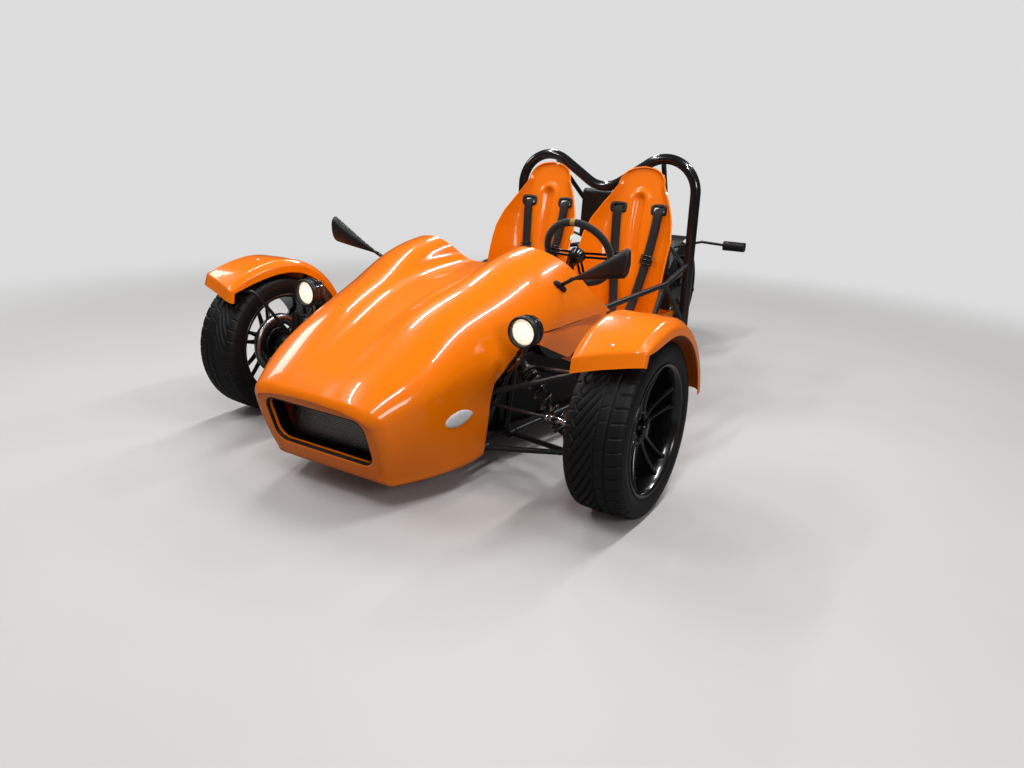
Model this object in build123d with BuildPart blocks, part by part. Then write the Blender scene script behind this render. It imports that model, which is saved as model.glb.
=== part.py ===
from build123d import *
from math import atan2, cos, hypot, pi, radians, sin, sqrt
import os

os.makedirs("parts", exist_ok=True)

# An open three wheeled car: two steered wheels in front, one driven wheel behind.
# Millimetres. X to the car's left, Y rearwards, Z up, wheels on Z = 0.
# The origin is on the floor, midway between the nose and the back of the rear tyre.

# Driving dimensions of the whole car
FRONT_AXLE_Y = -1153
WHEELBASE = 2600
HALF_TRACK = 853
KINGPIN_X = 688
KINGPIN_TOP_Z = 432
KINGPIN_FOOT_Z = 146
FRAME_TUBE = 25
SKIN = 5

# Front wheel and tyre
FRONT_TYRE_RADIUS = 298
FRONT_TYRE_WIDTH = 205
FRONT_RIM_RADIUS = 223
FRONT_RIM_WIDTH = 196
STUB_RADIUS = 16
RUNNING_GAP = 1

# Rear wheel and tyre
REAR_TYRE_RADIUS = 311
REAR_TYRE_WIDTH = 190
REAR_RIM_RADIUS = 222
REAR_RIM_WIDTH = 150
REAR_AXLE_RADIUS = 12
SWINGARM_HALF = 140
PIVOT_Y = 2080
PIVOT_Z = 300

# Steering
STEER_WHEEL_CENTRE = (240, 775, 724)
STEER_WHEEL_RADIUS = 152
RACK_Y = -88
RACK_Z = 292

SIDES = (("left", 1), ("right", -1))


def at(x, y, z):
    """A point given by its station: y is measured back from the front axle."""
    return Vector(x, FRONT_AXLE_Y + y, z)


def section_plane(y, x=0, z=0):
    """A cross section of the car at a station: local x is X, local y is Z."""
    return Plane(origin=at(x, y, z), x_dir=(1, 0, 0), z_dir=(0, -1, 0))


def side_plane(x, y=0, z=0):
    """A side view of the car at a given x: local x is Y, local y is Z."""
    return Plane(origin=at(x, y, z), x_dir=(0, 1, 0), z_dir=(1, 0, 0))


def floor_plane(z):
    """A plan view at height z: local x is X, local y is the station."""
    return Plane(origin=at(0, 0, z))


def strut(start, end, diameter=FRAME_TUBE):
    """A straight round tube between two points of the part being built."""
    with BuildSketch(Plane(origin=start, z_dir=end - start)) as ring:
        Circle(diameter / 2)
    extrude(ring.sketch, amount=(end - start).length)


def bent_tube(points, bend, diameter=FRAME_TUBE):
    """A round tube bent along a row of points with one bend radius."""
    with BuildLine() as line:
        FilletPolyline(*points, radius=bend)
    with BuildSketch(Plane(origin=line.line @ 0, z_dir=line.line % 0)) as ring:
        Circle(diameter / 2)
    sweep(ring.sketch, path=line.line)


def knob(point, diameter, turn=0):
    """A round boss or ball at a point of the part being built, its seam turned away."""
    with Locations(point):
        Sphere(diameter / 2, rotation=(0, 0, turn))


def finish(builder, name):
    """Names a finished piece and writes it."""
    builder.part.label = name
    export_step(builder.part, f"parts/{name}.step")


# Nose cowl: one thin moulding with a mouth in front, a hump before each seat and a
# flat hollow between them. Half of a section is a flat, two arcs up to the crest, a
# shoulder of two arcs, a flank and a foot, each tangent to the next.
# station, centre height, crest x, crest height, widest x, its height, foot x, foot
# height, degrees that the shoulder's first arc turns
COWL_SECTIONS = (
    (-620, 360, 110, 354, 254, 298, 232, 98, 13),
    (-560, 410, 118, 407, 281, 324, 236, 95, 18),
    (-450, 470, 135, 478, 331, 370, 280, 93, 22),
    (-230, 579, 160, 603, 370, 427, 356, 92, 30),
    (-112, 622, 178, 641, 364, 436, 372, 92, 40),
    (0, 645, 196, 683, 414, 478, 390, 300, 42),
    (200, 675, 222, 758, 442, 535, 432, 430, 45),
    (330, 683, 228, 785, 444, 537, 446, 440, 48),
    (680, 684, 234, 790, 462, 546, 458, 450, 46),
)
# the nose's loft ends at this row and the cowl's starts there
NOSE_SECTIONS = 4
HOLLOW_FLAT = 0.3
COWL_FOOT_RADIUS = 20
MOUTH_TOP = 334
MOUTH_FOOT = 164
MOUTH_HALF = 220
MOUTH_CORNER = 46
# side view of the face, which leans back towards its foot: station and height
FACE_TOP = (-612, 416)
FACE_FOOT = (-502, 82)
FACE_WALL = 14
NOSE_EDGE_RADIUS = 16
# side view of the lower edge behind the nose, and of the cockpit's edge
LOWER_EDGE = ((-128, 0), (-112, 380), (-32, 450), (20, 500), (110, 522), (760, 522))
COCKPIT_EDGE = ((330, 900), (332, 786), (402, 728), (505, 615), (650, 522), (760, 480))


def shoulder_joint(width, height, turn):
    """Where the two arcs of a shoulder meet, from the corner that they bend round."""
    across, drop = sin(radians(turn)), 1 - cos(radians(turn))
    radius = (width * (1 - drop) - height * (1 - across)) / (across * (1 - drop) - drop * (1 - across))
    return radius * across, height - radius * drop


def cowl_section(row, inset):
    """One cross section of the cowl's form, drawn in by inset."""
    y, centre_z, crest_x, crest_z, wide_x, wide_z, foot_x, foot_z, turn = row
    joint_x, joint_z = shoulder_joint(wide_x - inset - crest_x, crest_z - inset - wide_z, turn)
    flat_x = crest_x * HOLLOW_FLAT
    rise_x = (flat_x + crest_x) / 2
    rise_z = (centre_z + crest_z) / 2 - inset
    with BuildSketch(section_plane(y)) as section:
        with BuildLine():
            flat = Line((0, centre_z - inset), (flat_x, centre_z - inset))
            rise = TangentArc(flat @ 1, (rise_x, rise_z), tangent=(1, 0))
            crest = TangentArc(rise @ 1, (crest_x, crest_z - inset), tangent=rise % 1)
            crown = TangentArc(crest @ 1, (crest_x + joint_x, wide_z + joint_z), tangent=(1, 0))
            side = TangentArc(crown @ 1, (wide_x - inset, wide_z), tangent=crown % 1)
            flank = TangentArc(side @ 1, (foot_x - inset, foot_z + inset + COWL_FOOT_RADIUS), tangent=(0, -1))
            foot = Line(flank @ 1, (foot_x - inset - COWL_FOOT_RADIUS, foot_z + inset))
            Line(foot @ 1, (0, foot_z + inset))
            mirror(about=Plane.YZ)
        make_face()
    return section.sketch


def cowl_form(inset):
    """The solid form of the cowl, drawn in by inset: one loft for the nose, one behind it."""
    with BuildPart() as form:
        for rows in (COWL_SECTIONS[: NOSE_SECTIONS + 1], COWL_SECTIONS[NOSE_SECTIONS:]):
            loft([cowl_section(row, inset) for row in rows])
    return form


def nose_room(back):
    """Side view of all that lies behind the face of the nose, set back by back."""
    with BuildLine() as view:
        top = (FACE_TOP[0] + back, FACE_TOP[1])
        foot = (FACE_FOOT[0] + back, FACE_FOOT[1])
        Polyline((top[0], 900), top, foot, (foot[0], 0), (800, 0), (800, 900), close=True)
    make_face(view.edges())


with BuildPart() as outer_form:
    add(cowl_form(0).part)
    with BuildSketch(side_plane(0)) as nose_face:
        nose_room(0)
    extrude(nose_face.sketch, amount=600, both=True, mode=Mode.INTERSECT)
    face = outer_form.faces().sort_by(Axis.Y)[0]
    fillet(face.edges(), NOSE_EDGE_RADIUS)

with BuildPart() as inner_form:
    add(cowl_form(SKIN).part)
    with BuildSketch(side_plane(0)) as room:
        nose_room(FACE_WALL)
    extrude(room.sketch, amount=600, both=True, mode=Mode.INTERSECT)

with BuildPart() as nose_cowl:
    add(outer_form.part)
    add(inner_form.part, mode=Mode.SUBTRACT)
    # behind the nose the moulding stops above the suspension and the cockpit side
    with BuildSketch(side_plane(0)) as below:
        with BuildLine():
            Polyline(*LOWER_EDGE, (760, 0), close=True)
        make_face()
    extrude(below.sketch, amount=700, both=True, mode=Mode.SUBTRACT)
    # the cockpit opening slopes down from the humps to the sills
    with BuildSketch(side_plane(0)) as cockpit:
        with BuildLine():
            Polyline(*COCKPIT_EDGE, (760, 900), close=True)
        make_face()
    extrude(cockpit.sketch, amount=700, both=True, mode=Mode.SUBTRACT)
    # the mouth for the radiator
    with BuildSketch(section_plane(-700, 0, (MOUTH_TOP + MOUTH_FOOT) / 2)) as mouth:
        RectangleRounded(2 * MOUTH_HALF, MOUTH_TOP - MOUTH_FOOT, MOUTH_CORNER)
    extrude(mouth.sketch, amount=-260, mode=Mode.SUBTRACT)

finish(nose_cowl, "nose_cowl")

# A fine mesh closes the mouth, set back in it and framed by a rubber edge.
with BuildPart() as grille_mesh:
    lean = Plane(origin=at(0, -516, 249), x_dir=(1, 0, 0), z_dir=(0, -0.95, -0.3122))
    with BuildSketch(lean) as mesh_face:
        RectangleRounded(2 * MOUTH_HALF + 6, 184, MOUTH_CORNER)
    extrude(mesh_face.sketch, amount=-3)
finish(grille_mesh, "grille_mesh")

# Radiator: core between two side tanks, hung in the nose behind the mesh.
RADIATOR_WIDTH = 330
RADIATOR_HEIGHT = 150
RADIATOR_DEPTH = 32
RADIATOR_Y = -455
RADIATOR_Z = 232
with BuildPart() as radiator:
    with BuildSketch(section_plane(RADIATOR_Y, 0, RADIATOR_Z)) as core:
        Rectangle(RADIATOR_WIDTH, RADIATOR_HEIGHT)
    extrude(core.sketch, amount=RADIATOR_DEPTH / 2, both=True)
    for _, side in SIDES:
        with BuildSketch(section_plane(RADIATOR_Y, side * (RADIATOR_WIDTH / 2 + 14), RADIATOR_Z)) as tank:
            Rectangle(36, RADIATOR_HEIGHT + 8)
        extrude(tank.sketch, amount=RADIATOR_DEPTH / 2 + 5, both=True)
finish(radiator, "radiator")

# Front frame: two lower and two upper rails in the nose, joined by hoops.
# station, x and z of the lower rail, x and z of the upper rail
FRONT_HOOPS = (
    (-410, 212, 122, 200, 326),
    (-120, 318, 122, 322, 334),
    (90, 318, 122, 350, 420),
)
DAMPER_TOP = (432, -10, 446)
DAMPER_FOOT = (650, -10, 204)
ARM_EYE = 28
# name, station and x, z of the front inner eye, the same of the rear inner eye, outer height
WISHBONES = (
    ("upper", (-92, 353, 330), (90, 376, 392), KINGPIN_TOP_Z),
    ("lower", (-92, 345, 122), (90, 345, 122), KINGPIN_FOOT_Z),
)
with BuildPart() as front_frame:
    for _, side in SIDES:
        low = [at(side * x, y, z) for y, x, z, _, _ in FRONT_HOOPS]
        high = [at(side * x, y, z) for y, _, _, x, z in FRONT_HOOPS]
        for run in (low, high):
            for start, end in zip(run, run[1:]):
                strut(start, end)
            for joint in run:
                knob(joint, FRAME_TUBE + 1)
        for foot, head in zip(low, high):
            strut(foot, head)
        strut(low[1], high[2])
        # tower that carries the top of the coil-over and the headlamp
        tower = at(side * 402, -10, 446)
        strut(high[1], tower, 22)
        strut(high[2], tower, 22)
        knob(tower, 26)
    for y, low_x, low_z, high_x, high_z in FRONT_HOOPS:
        strut(at(-low_x, y, low_z), at(low_x, y, low_z))
    y, low_x, low_z, high_x, high_z = FRONT_HOOPS[0]
    strut(at(-high_x, y, high_z), at(high_x, y, high_z))
finish(front_frame, "front_frame")

# Side frames: a lower rail that climbs past the seat, an upper bar and a diagonal.
RAIL_START = (345, 118, 122)
NODE = (500, 1170, 568)
UPPER_FRONT = (420, 560, 520)
UPPER_REAR = (492, 1500, 626)
APEX = (495, 1500, 330)
HOOP_LEG = ((497, 1500, 232), (488, 1500, 1265))
HOOP_TUBE = 50
LOWER_KNEE = (488, 900, 168)
with BuildPart() as side_frames:
    for _, side in SIDES:
        start, knee, apex, node, front, rear = (
            at(side * x, y, z) for x, y, z in (RAIL_START, LOWER_KNEE, APEX, NODE, UPPER_FRONT, UPPER_REAR)
        )
        strut(start, knee)
        strut(knee, apex)
        strut(at(side * 364, 118, 430), front)
        strut(front, node)
        strut(node, rear)
        strut(node, apex)
        strut(knee, node)
        for joint in (knee, node, front):
            knob(joint, FRAME_TUBE + 1)
        # the ends are coped to the hoop's leg
        leg = [at(side * x, y, z) for x, y, z in HOOP_LEG]
        with BuildSketch(Plane(origin=leg[0], z_dir=leg[1] - leg[0])) as leg_ring:
            Circle(HOOP_TUBE / 2)
        extrude(leg_ring.sketch, amount=700, both=True, mode=Mode.SUBTRACT)
    # what a tube's end pokes through the leg is cut off
    with BuildSketch(section_plane(1500)) as behind:
        Rectangle(1400, 2000)
    extrude(behind.sketch, amount=-100, mode=Mode.SUBTRACT)
finish(side_frames, "side_frames")

# Cockpit tub: floor, footbox and side panels in one moulding, open on top.
# station, half width
TUB_PLAN = ((-16, 284), (100, 300), (560, 403), (900, 452), (1410, 470))
TUB_FLOOR_Z = 138
PANEL_X = 442
PANEL_LIP = 44
PANEL_TOP = 514
# station and height
PANEL_LOWER_EDGE = ((104, 470), (140, 438), (320, 388), (560, 374), (880, 376))
with BuildPart() as cockpit_tub:
    with BuildSketch(floor_plane(TUB_FLOOR_Z)) as plan:
        with BuildLine():
            Polyline(*[(-x, y) for y, x in TUB_PLAN], *[(x, y) for y, x in reversed(TUB_PLAN)], close=True)
        make_face()
    extrude(plan.sketch, amount=420)
    with BuildSketch(side_plane(0)) as top_line:
        with BuildLine():
            Polyline(
                (-300, 296), (20, 296), (110, 480), (640, 480), (760, 420), (1420, 400), (1420, 700), (-300, 700),
                close=True,
            )
        make_face()
    extrude(top_line.sketch, amount=600, both=True, mode=Mode.SUBTRACT)
    openings = cockpit_tub.faces().filter_by(lambda f: f.normal_at().Z > 0.05)
    offset(amount=-SKIN, openings=openings)
    # outer side panels with a rolled lower edge, covering the frame's upper bar
    for _, side in SIDES:
        with BuildSketch(side_plane(side * PANEL_X)) as panel:
            with BuildLine():
                lower = Spline(*PANEL_LOWER_EDGE)
                Polyline(lower @ 1, (880, 396), (760, 424), (650, PANEL_TOP), (116, PANEL_TOP), lower @ 0)
            make_face()
        extrude(panel.sketch, amount=-side * PANEL_LIP)
        with BuildSketch(side_plane(side * (PANEL_X - SKIN))) as pocket:
            with BuildLine():
                inner_edge = Spline(*[(y + 4, z + SKIN) for y, z in PANEL_LOWER_EDGE])
                Polyline(inner_edge @ 1, (890, 600), (100, 600), inner_edge @ 0)
            make_face()
        extrude(pocket.sketch, amount=-side * PANEL_LIP, mode=Mode.SUBTRACT)
finish(cockpit_tub, "cockpit_tub")

# Dash: a cross tube under the cowl with the instrument pod before the driver.
POD = (240, 436, 690)
with BuildPart() as dash:
    bent_tube(
        [at(-384, 528, 532), at(-320, 400, 640), at(320, 400, 640), at(384, 528, 532)], 60, 40
    )
    with BuildSketch(section_plane(POD[1], POD[0], POD[2])) as pod:
        RectangleRounded(180, 96, 34)
    extrude(pod.sketch, amount=22, both=True)
    strut(at(POD[0], 400, 640), at(*POD), 20)
finish(dash, "dash")

# Bucket seats: a thin moulded shell with side bolsters, a pressed groove down the
# middle of the back, a round top and two slots for the shoulder straps.
# station, height, lean of the shell from the floor, width, bolster depth, groove depth
SEAT_SECTIONS = (
    (800, 268, -8, 360, 60, 1),
    (1000, 240, -8, 420, 110, 1),
    (1170, 226, 8, 420, 150, 1),
    (1250, 290, 60, 430, 165, 1),
    (1300, 540, 78, 448, 150, 6),
    (1322, 660, 78, 454, 126, 14),
    (1346, 790, 78, 436, 84, 16),
    (1376, 930, 78, 330, 44, 12),
    (1408, 1083, 78, 240, 26, 1),
)
SEAT_X = 257
SEAT_SHELL = 9
GROOVE_HALF = 36
# front view of the back's edge, from the shoulder to the start of the round top
SEAT_OUTLINE = ((260, 150), (260, 640), (216, 812), (98, 1022))
SEAT_TOP = 1083
STRAP_X = 108
STRAP_Z = 890
for name, side in SIDES:
    with BuildPart() as seat:
        for y, z, lean, width, depth, groove in SEAT_SECTIONS:
            along = Vector(0, cos(radians(lean)), sin(radians(lean)))
            half = width / 2
            flare = depth * 0.2
            right_half = (
                (half, depth),
                (half - flare, 0),
                (GROOVE_HALF, 0),
                (GROOVE_HALF - 10, -groove),
            )
            right_inside = (
                (GROOVE_HALF - 10, SEAT_SHELL - groove),
                (GROOVE_HALF, SEAT_SHELL),
                (half - SEAT_SHELL - flare, SEAT_SHELL),
                (half - SEAT_SHELL, depth),
            )
            with BuildSketch(Plane(origin=at(side * SEAT_X, y, z), x_dir=(-1, 0, 0), z_dir=along)):
                with BuildLine():
                    Polyline(
                        *right_half,
                        *[(-u, v) for u, v in reversed(right_half)],
                        *[(-u, v) for u, v in reversed(right_inside)],
                        *right_inside,
                        close=True,
                    )
                make_face()
        loft(ruled=True)
        with BuildSketch(section_plane(1200, side * SEAT_X)) as outline:
            with BuildLine():
                edge = Polyline(*SEAT_OUTLINE)
                far_edge = Polyline(*[(-u, v) for u, v in SEAT_OUTLINE])
                ThreePointArc(edge @ 1, (0, SEAT_TOP), far_edge @ 1)
                Line(far_edge @ 0, edge @ 0)
            make_face()
        extrude(outline.sketch, amount=500, both=True, mode=Mode.INTERSECT)
        with BuildSketch(section_plane(1200, side * SEAT_X)) as slots:
            with Locations((-STRAP_X, STRAP_Z), (STRAP_X, STRAP_Z)):
                RectangleRounded(62, 38, 10)
        extrude(slots.sketch, amount=-300, mode=Mode.SUBTRACT)
    finish(seat, f"seat_{name}")

# Firewall: a flat panel behind the seats, between the hoop's legs.
with BuildPart() as firewall:
    with BuildSketch(section_plane(1446)) as panel:
        with BuildLine():
            Polyline((-440, 150), (440, 150), (440, 560), (260, 640), (-260, 640), (-440, 560), close=True)
        make_face()
    extrude(panel.sketch, amount=2, both=True)
finish(firewall, "firewall")

# Roll hoop: one thick tube bent to a double hump, its feet on the side frames.
HOOP_Y = 1500
# x and height of the line's corners, from a foot to the valley in the middle
HOOP_LINE = ((497, 232), (488, 1265), (0, 948))
HOOP_BEND = 165
with BuildPart() as roll_hoop:
    bent_tube(
        [at(x, HOOP_Y, z) for x, z in HOOP_LINE] + [at(-x, HOOP_Y, z) for x, z in reversed(HOOP_LINE[:-1])],
        HOOP_BEND,
        HOOP_TUBE,
    )
    strut(at(-497, HOOP_Y, 250), at(497, HOOP_Y, 250))
finish(roll_hoop, "roll_hoop")

# Rear frame: stays from the hoop, seat rails, engine cradle and swingarm pivot.
with BuildPart() as rear_frame:
    for _, side in SIDES:
        hump = at(side * 300, HOOP_Y + 38, 1096)
        tail = at(side * 175, 2060, 640)
        rail = at(side * 470, HOOP_Y + 38, 600)
        cradle_front = at(side * 470, HOOP_Y + 38, 262)
        cradle_rear = at(side * 175, PIVOT_Y, 190)
        pivot = at(side * 175, PIVOT_Y, PIVOT_Z)
        strut(hump, tail)
        strut(rail, tail)
        strut(cradle_front, cradle_rear)
        strut(cradle_rear, pivot)
        strut(pivot, tail)
        for joint in (tail, cradle_rear, pivot):
            knob(joint, FRAME_TUBE + 1)
    strut(at(-175, 2060, 640), at(175, 2060, 640))
    strut(at(-175, PIVOT_Y, 190), at(175, PIVOT_Y, 190))
finish(rear_frame, "rear_frame")

# Engine: crankcase, leaning cylinders and the round covers on its ends.
with BuildPart() as engine:
    with BuildSketch(side_plane(0)) as crankcase:
        with BuildLine():
            Polyline(
                (1610, 225), (1900, 215), (1938, 260), (1938, 400), (1860, 440), (1640, 420), (1600, 330), close=True
            )
        make_face()
        fillet(crankcase.vertices(), 18)
    extrude(crankcase.sketch, amount=150, both=True)
    with BuildSketch(side_plane(0)) as gearbox:
        with BuildLine():
            Polyline((1880, 222), (2000, 232), (2030, 280), (2030, 350), (1990, 392), (1880, 400), close=True)
        make_face()
        fillet(gearbox.vertices().group_by(Axis.Y)[-1], 14)
    extrude(gearbox.sketch, amount=82, both=True)
    with BuildSketch(side_plane(0)) as cylinders:
        with BuildLine():
            Polyline((1640, 380), (1800, 430), (1770, 610), (1745, 680), (1605, 650), (1610, 570), close=True)
        make_face()
        fillet(cylinders.vertices(), 14)
    extrude(cylinders.sketch, amount=190, both=True)
    for _, side in SIDES:
        with BuildSketch(side_plane(side * 150, 1760, 320)) as cover:
            Circle(78)
        extrude(cover.sketch, amount=side * 38)
finish(engine, "engine")

# Tank with the air intake on top, standing behind the seats.
with BuildPart() as fuel_tank:
    with BuildSketch(side_plane(0)) as tank_side:
        with BuildLine():
            Polyline((1545, 700), (1790, 700), (1800, 860), (1700, 960), (1560, 960), close=True)
        make_face()
        fillet(tank_side.vertices(), 25)
    extrude(tank_side.sketch, amount=150, both=True)
finish(fuel_tank, "fuel_tank")

# Exhaust: collector under the engine and a round silencer on the car's right.
with BuildPart() as exhaust:
    bent_tube(
        [
            at(-80, 1594, 540), at(-80, 1562, 500), at(-80, 1562, 176), at(-240, 1800, 176), at(-240, 2090, 392),
            at(-262, 2190, 444),
        ],
        38,
        46,
    )
    muffler_start = at(-264, 2150, 422)
    muffler_end = at(-276, 2570, 642)
    strut(muffler_start, muffler_end, 112)
finish(exhaust, "exhaust")

# Swingarm: two box arms from the pivot to the rear axle, with a bridge.
with BuildPart() as swingarm:
    for _, side in SIDES:
        with BuildSketch(side_plane(side * SWINGARM_HALF)) as arm:
            with BuildLine():
                Polyline(
                    (PIVOT_Y - 20, PIVOT_Z - 26), (PIVOT_Y - 20, PIVOT_Z + 30), (2380, 355), (2640, 336), (2640, 286),
                    (2380, 286), close=True,
                )
            make_face()
        extrude(arm.sketch, amount=15, both=True)
    with BuildSketch(floor_plane(PIVOT_Z - 22)) as bridge:
        with Locations((0, 2150)):
            Rectangle(2 * SWINGARM_HALF, 80)
    extrude(bridge.sketch, amount=48)
    with BuildSketch(side_plane(-160, PIVOT_Y, PIVOT_Z)) as pivot_tube:
        Circle(22)
    extrude(pivot_tube.sketch, amount=320)
    with BuildSketch(side_plane(-SWINGARM_HALF - 40, WHEELBASE, REAR_TYRE_RADIUS)) as rear_axle:
        Circle(REAR_AXLE_RADIUS)
    extrude(rear_axle.sketch, amount=2 * SWINGARM_HALF + 80)
    for _, side in SIDES:
        with BuildSketch(side_plane(side * (SWINGARM_HALF + 15), 2480, 312)) as stand_boss:
            Circle(14)
        extrude(stand_boss.sketch, amount=side * 24)
        with BuildSketch(side_plane(side * (SWINGARM_HALF + 39), 2480, 312)) as stand_bore:
            Circle(5)
        extrude(stand_bore.sketch, amount=-side * 22, mode=Mode.SUBTRACT)
finish(swingarm, "swingarm")

# Rear coil-over between the frame's tail tube and the swingarm bridge.
with BuildPart() as rear_shock:
    top = at(0, 2060, 618)
    foot = at(0, 2160, 336)
    run = foot - top
    strut(top, top + run * 0.42, 46)
    strut(top + run * 0.18, top + run * 0.86, 64)
    strut(top + run * 0.8, foot, 26)
finish(rear_shock, "rear_shock")

# Rear mudguard: a hugger close over the tyre, carried by the swingarm.
HUGGER_INNER = REAR_TYRE_RADIUS + 22
with BuildPart() as rear_mudguard:
    with BuildSketch(Plane(origin=at(-112, WHEELBASE, REAR_TYRE_RADIUS), x_dir=(0, 1, 0), z_dir=(1, 0, 0))) as arc:
        Circle(HUGGER_INNER + 4)
        Circle(HUGGER_INNER, mode=Mode.SUBTRACT)
    extrude(arc.sketch, amount=224)
    with BuildSketch(Plane(origin=at(-400, WHEELBASE, REAR_TYRE_RADIUS), x_dir=(0, 1, 0), z_dir=(1, 0, 0))) as keep:
        with BuildLine():
            Polyline((0, 0), (-600, 330), (-600, 600), (180, 600), close=True)
        make_face()
    extrude(keep.sketch, amount=800, mode=Mode.INTERSECT)
    for _, side in SIDES:
        strut(at(side * 110, 2332, 504), at(side * 147, 2350, 356), 12)
        strut(at(side * 110, 2600, REAR_TYRE_RADIUS + HUGGER_INNER), at(side * 147, 2560, 347), 12)
finish(rear_mudguard, "rear_mudguard")

# Final drive: the chain runs as one loop between the two sprockets.
CHAIN_X = 108
DRIVE_SPROCKET = (2000, 300, 38)
REAR_SPROCKET_RADIUS = 98
with BuildPart() as chain:
    y0, z0, r0 = DRIVE_SPROCKET
    y1, z1, r1 = WHEELBASE, REAR_TYRE_RADIUS, REAR_SPROCKET_RADIUS + 5
    run = hypot(y1 - y0, z1 - z0)
    lift = atan2(z1 - z0, y1 - y0)
    lean = atan2(r1 - r0, run)
    for outer in (True, False):
        grow = 12 if outer else 0
        ra, rb = r0 + grow, r1 + grow
        a_top = lift + pi / 2 + lean
        a_low = lift - pi / 2 - lean
        with BuildSketch(side_plane(CHAIN_X - 8)) as loop:
            with BuildLine():
                p1 = (y0 + ra * cos(a_top), z0 + ra * sin(a_top))
                p2 = (y1 + rb * cos(a_top), z1 + rb * sin(a_top))
                p3 = (y1 + rb * cos(a_low), z1 + rb * sin(a_low))
                p4 = (y0 + ra * cos(a_low), z0 + ra * sin(a_low))
                Line(p1, p2)
                ThreePointArc(p2, (y1 + rb * cos(lift), z1 + rb * sin(lift)), p3)
                Line(p3, p4)
                ThreePointArc(p4, (y0 - ra * cos(lift), z0 - ra * sin(lift)), p1)
            make_face()
        extrude(loop.sketch, amount=16, mode=Mode.ADD if outer else Mode.SUBTRACT)
finish(chain, "chain")

# Wishbones: an upper and a lower arm of two legs each, meeting at the kingpin's balls.
BALL = 30
for name, side in SIDES:
    with BuildPart() as wishbones:
        for _, (front_y, front_x, front_z), (rear_y, rear_x, rear_z), outer_z in WISHBONES:
            outer = at(side * (KINGPIN_X - 40), 0, outer_z)
            inner_front = at(side * front_x, front_y, front_z)
            inner_rear = at(side * rear_x, rear_y, rear_z)
            for inner in (inner_front, inner_rear):
                strut(inner, outer, 20)
                with BuildSketch(Plane(origin=inner - Vector(0, 17, 0), z_dir=(0, 1, 0))) as eye:
                    Circle(ARM_EYE / 2)
                extrude(eye.sketch, amount=34)
            strut(outer - Vector(0, 0, 14), outer + Vector(0, 0, 14), 34)
            strut(outer, at(side * (KINGPIN_X - 22), 0, outer_z), 18)
        # ear on the lower arm for the foot of the coil-over
        foot = at(side * (DAMPER_FOOT[0] - 14), DAMPER_FOOT[1], KINGPIN_FOOT_Z)
        strut(foot, at(side * (DAMPER_FOOT[0] - 14), DAMPER_FOOT[1], DAMPER_FOOT[2] - 15), 20)
    finish(wishbones, f"wishbones_{name}")

# Front coil-overs: a damper body in a spring between two perches, an eye at each end.
for name, side in SIDES:
    with BuildPart() as damper:
        top = at(side * DAMPER_TOP[0], DAMPER_TOP[1], DAMPER_TOP[2])
        foot = at(side * (DAMPER_FOOT[0] - 14), DAMPER_FOOT[1], DAMPER_FOOT[2])
        run = foot - top
        for end in (top, foot):
            with BuildSketch(Plane(origin=end - Vector(0, 12, 0), z_dir=(0, 1, 0))) as eye:
                Circle(14)
            extrude(eye.sketch, amount=24)
        strut(top, foot, 20)
        strut(top + run * 0.1, top + run * 0.62, 38)
        strut(top + run * 0.16, top + run * 0.86, 54)
        strut(top + run * 0.13, top + run * 0.16, 66)
        strut(top + run * 0.86, top + run * 0.89, 66)
    finish(damper, f"damper_{name}")

# Steering rack: a tube across the nose with the pinion's tower on the driver's side.
RACK_HOUSING = 268
RACK_BAR = 22
RACK_BORE = 30
with BuildPart() as steering_rack:
    strut(at(-RACK_HOUSING, RACK_Y, RACK_Z), at(RACK_HOUSING, RACK_Y, RACK_Z), 44)
    tilt = atan2(STEER_WHEEL_CENTRE[2] - RACK_Z, STEER_WHEEL_CENTRE[1] - RACK_Y)
    column = Vector(0, cos(tilt), sin(tilt))
    pinion = at(STEER_WHEEL_CENTRE[0], RACK_Y, RACK_Z)
    strut(pinion, pinion + column * 52, 46)
    for x in (-200, 200):
        strut(at(x, RACK_Y, RACK_Z), at(x, RACK_Y - 22, RACK_Z - 21), 30)
    with BuildSketch(side_plane(-RACK_HOUSING, RACK_Y, RACK_Z)) as bore:
        Circle(RACK_BORE / 2)
    extrude(bore.sketch, amount=2 * RACK_HOUSING, mode=Mode.SUBTRACT)
finish(steering_rack, "steering_rack")

# Tie rods with the rack bar that slides in the housing. Each rod has a ball joint at
# the bar's end and another above its steering arm.
TIE_ROD_INNER = 344
TIE_ROD_END = (662, -92, 292)
with BuildPart() as tie_rods:
    strut(at(-TIE_ROD_INNER, RACK_Y, RACK_Z), at(TIE_ROD_INNER, RACK_Y, RACK_Z), RACK_BAR)
    for _, side in SIDES:
        inner = at(side * TIE_ROD_INNER, RACK_Y, RACK_Z)
        outer = at(side * TIE_ROD_END[0], TIE_ROD_END[1], TIE_ROD_END[2])
        strut(inner, outer, 13)
        knob(inner, 26, 90)
        knob(outer, 22, 90 - 90 * side)
finish(tie_rods, "tie_rods")

# Uprights: kingpin post, bearing carrier, stub axle, steering arm, brake caliper
# and the bent rods that carry the wing.
DISC_RADIUS = 132
DISC_WIDTH = 18
DISC_X = -58
STUB_LENGTH = 44
STAY_RADIUS = 322
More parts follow.
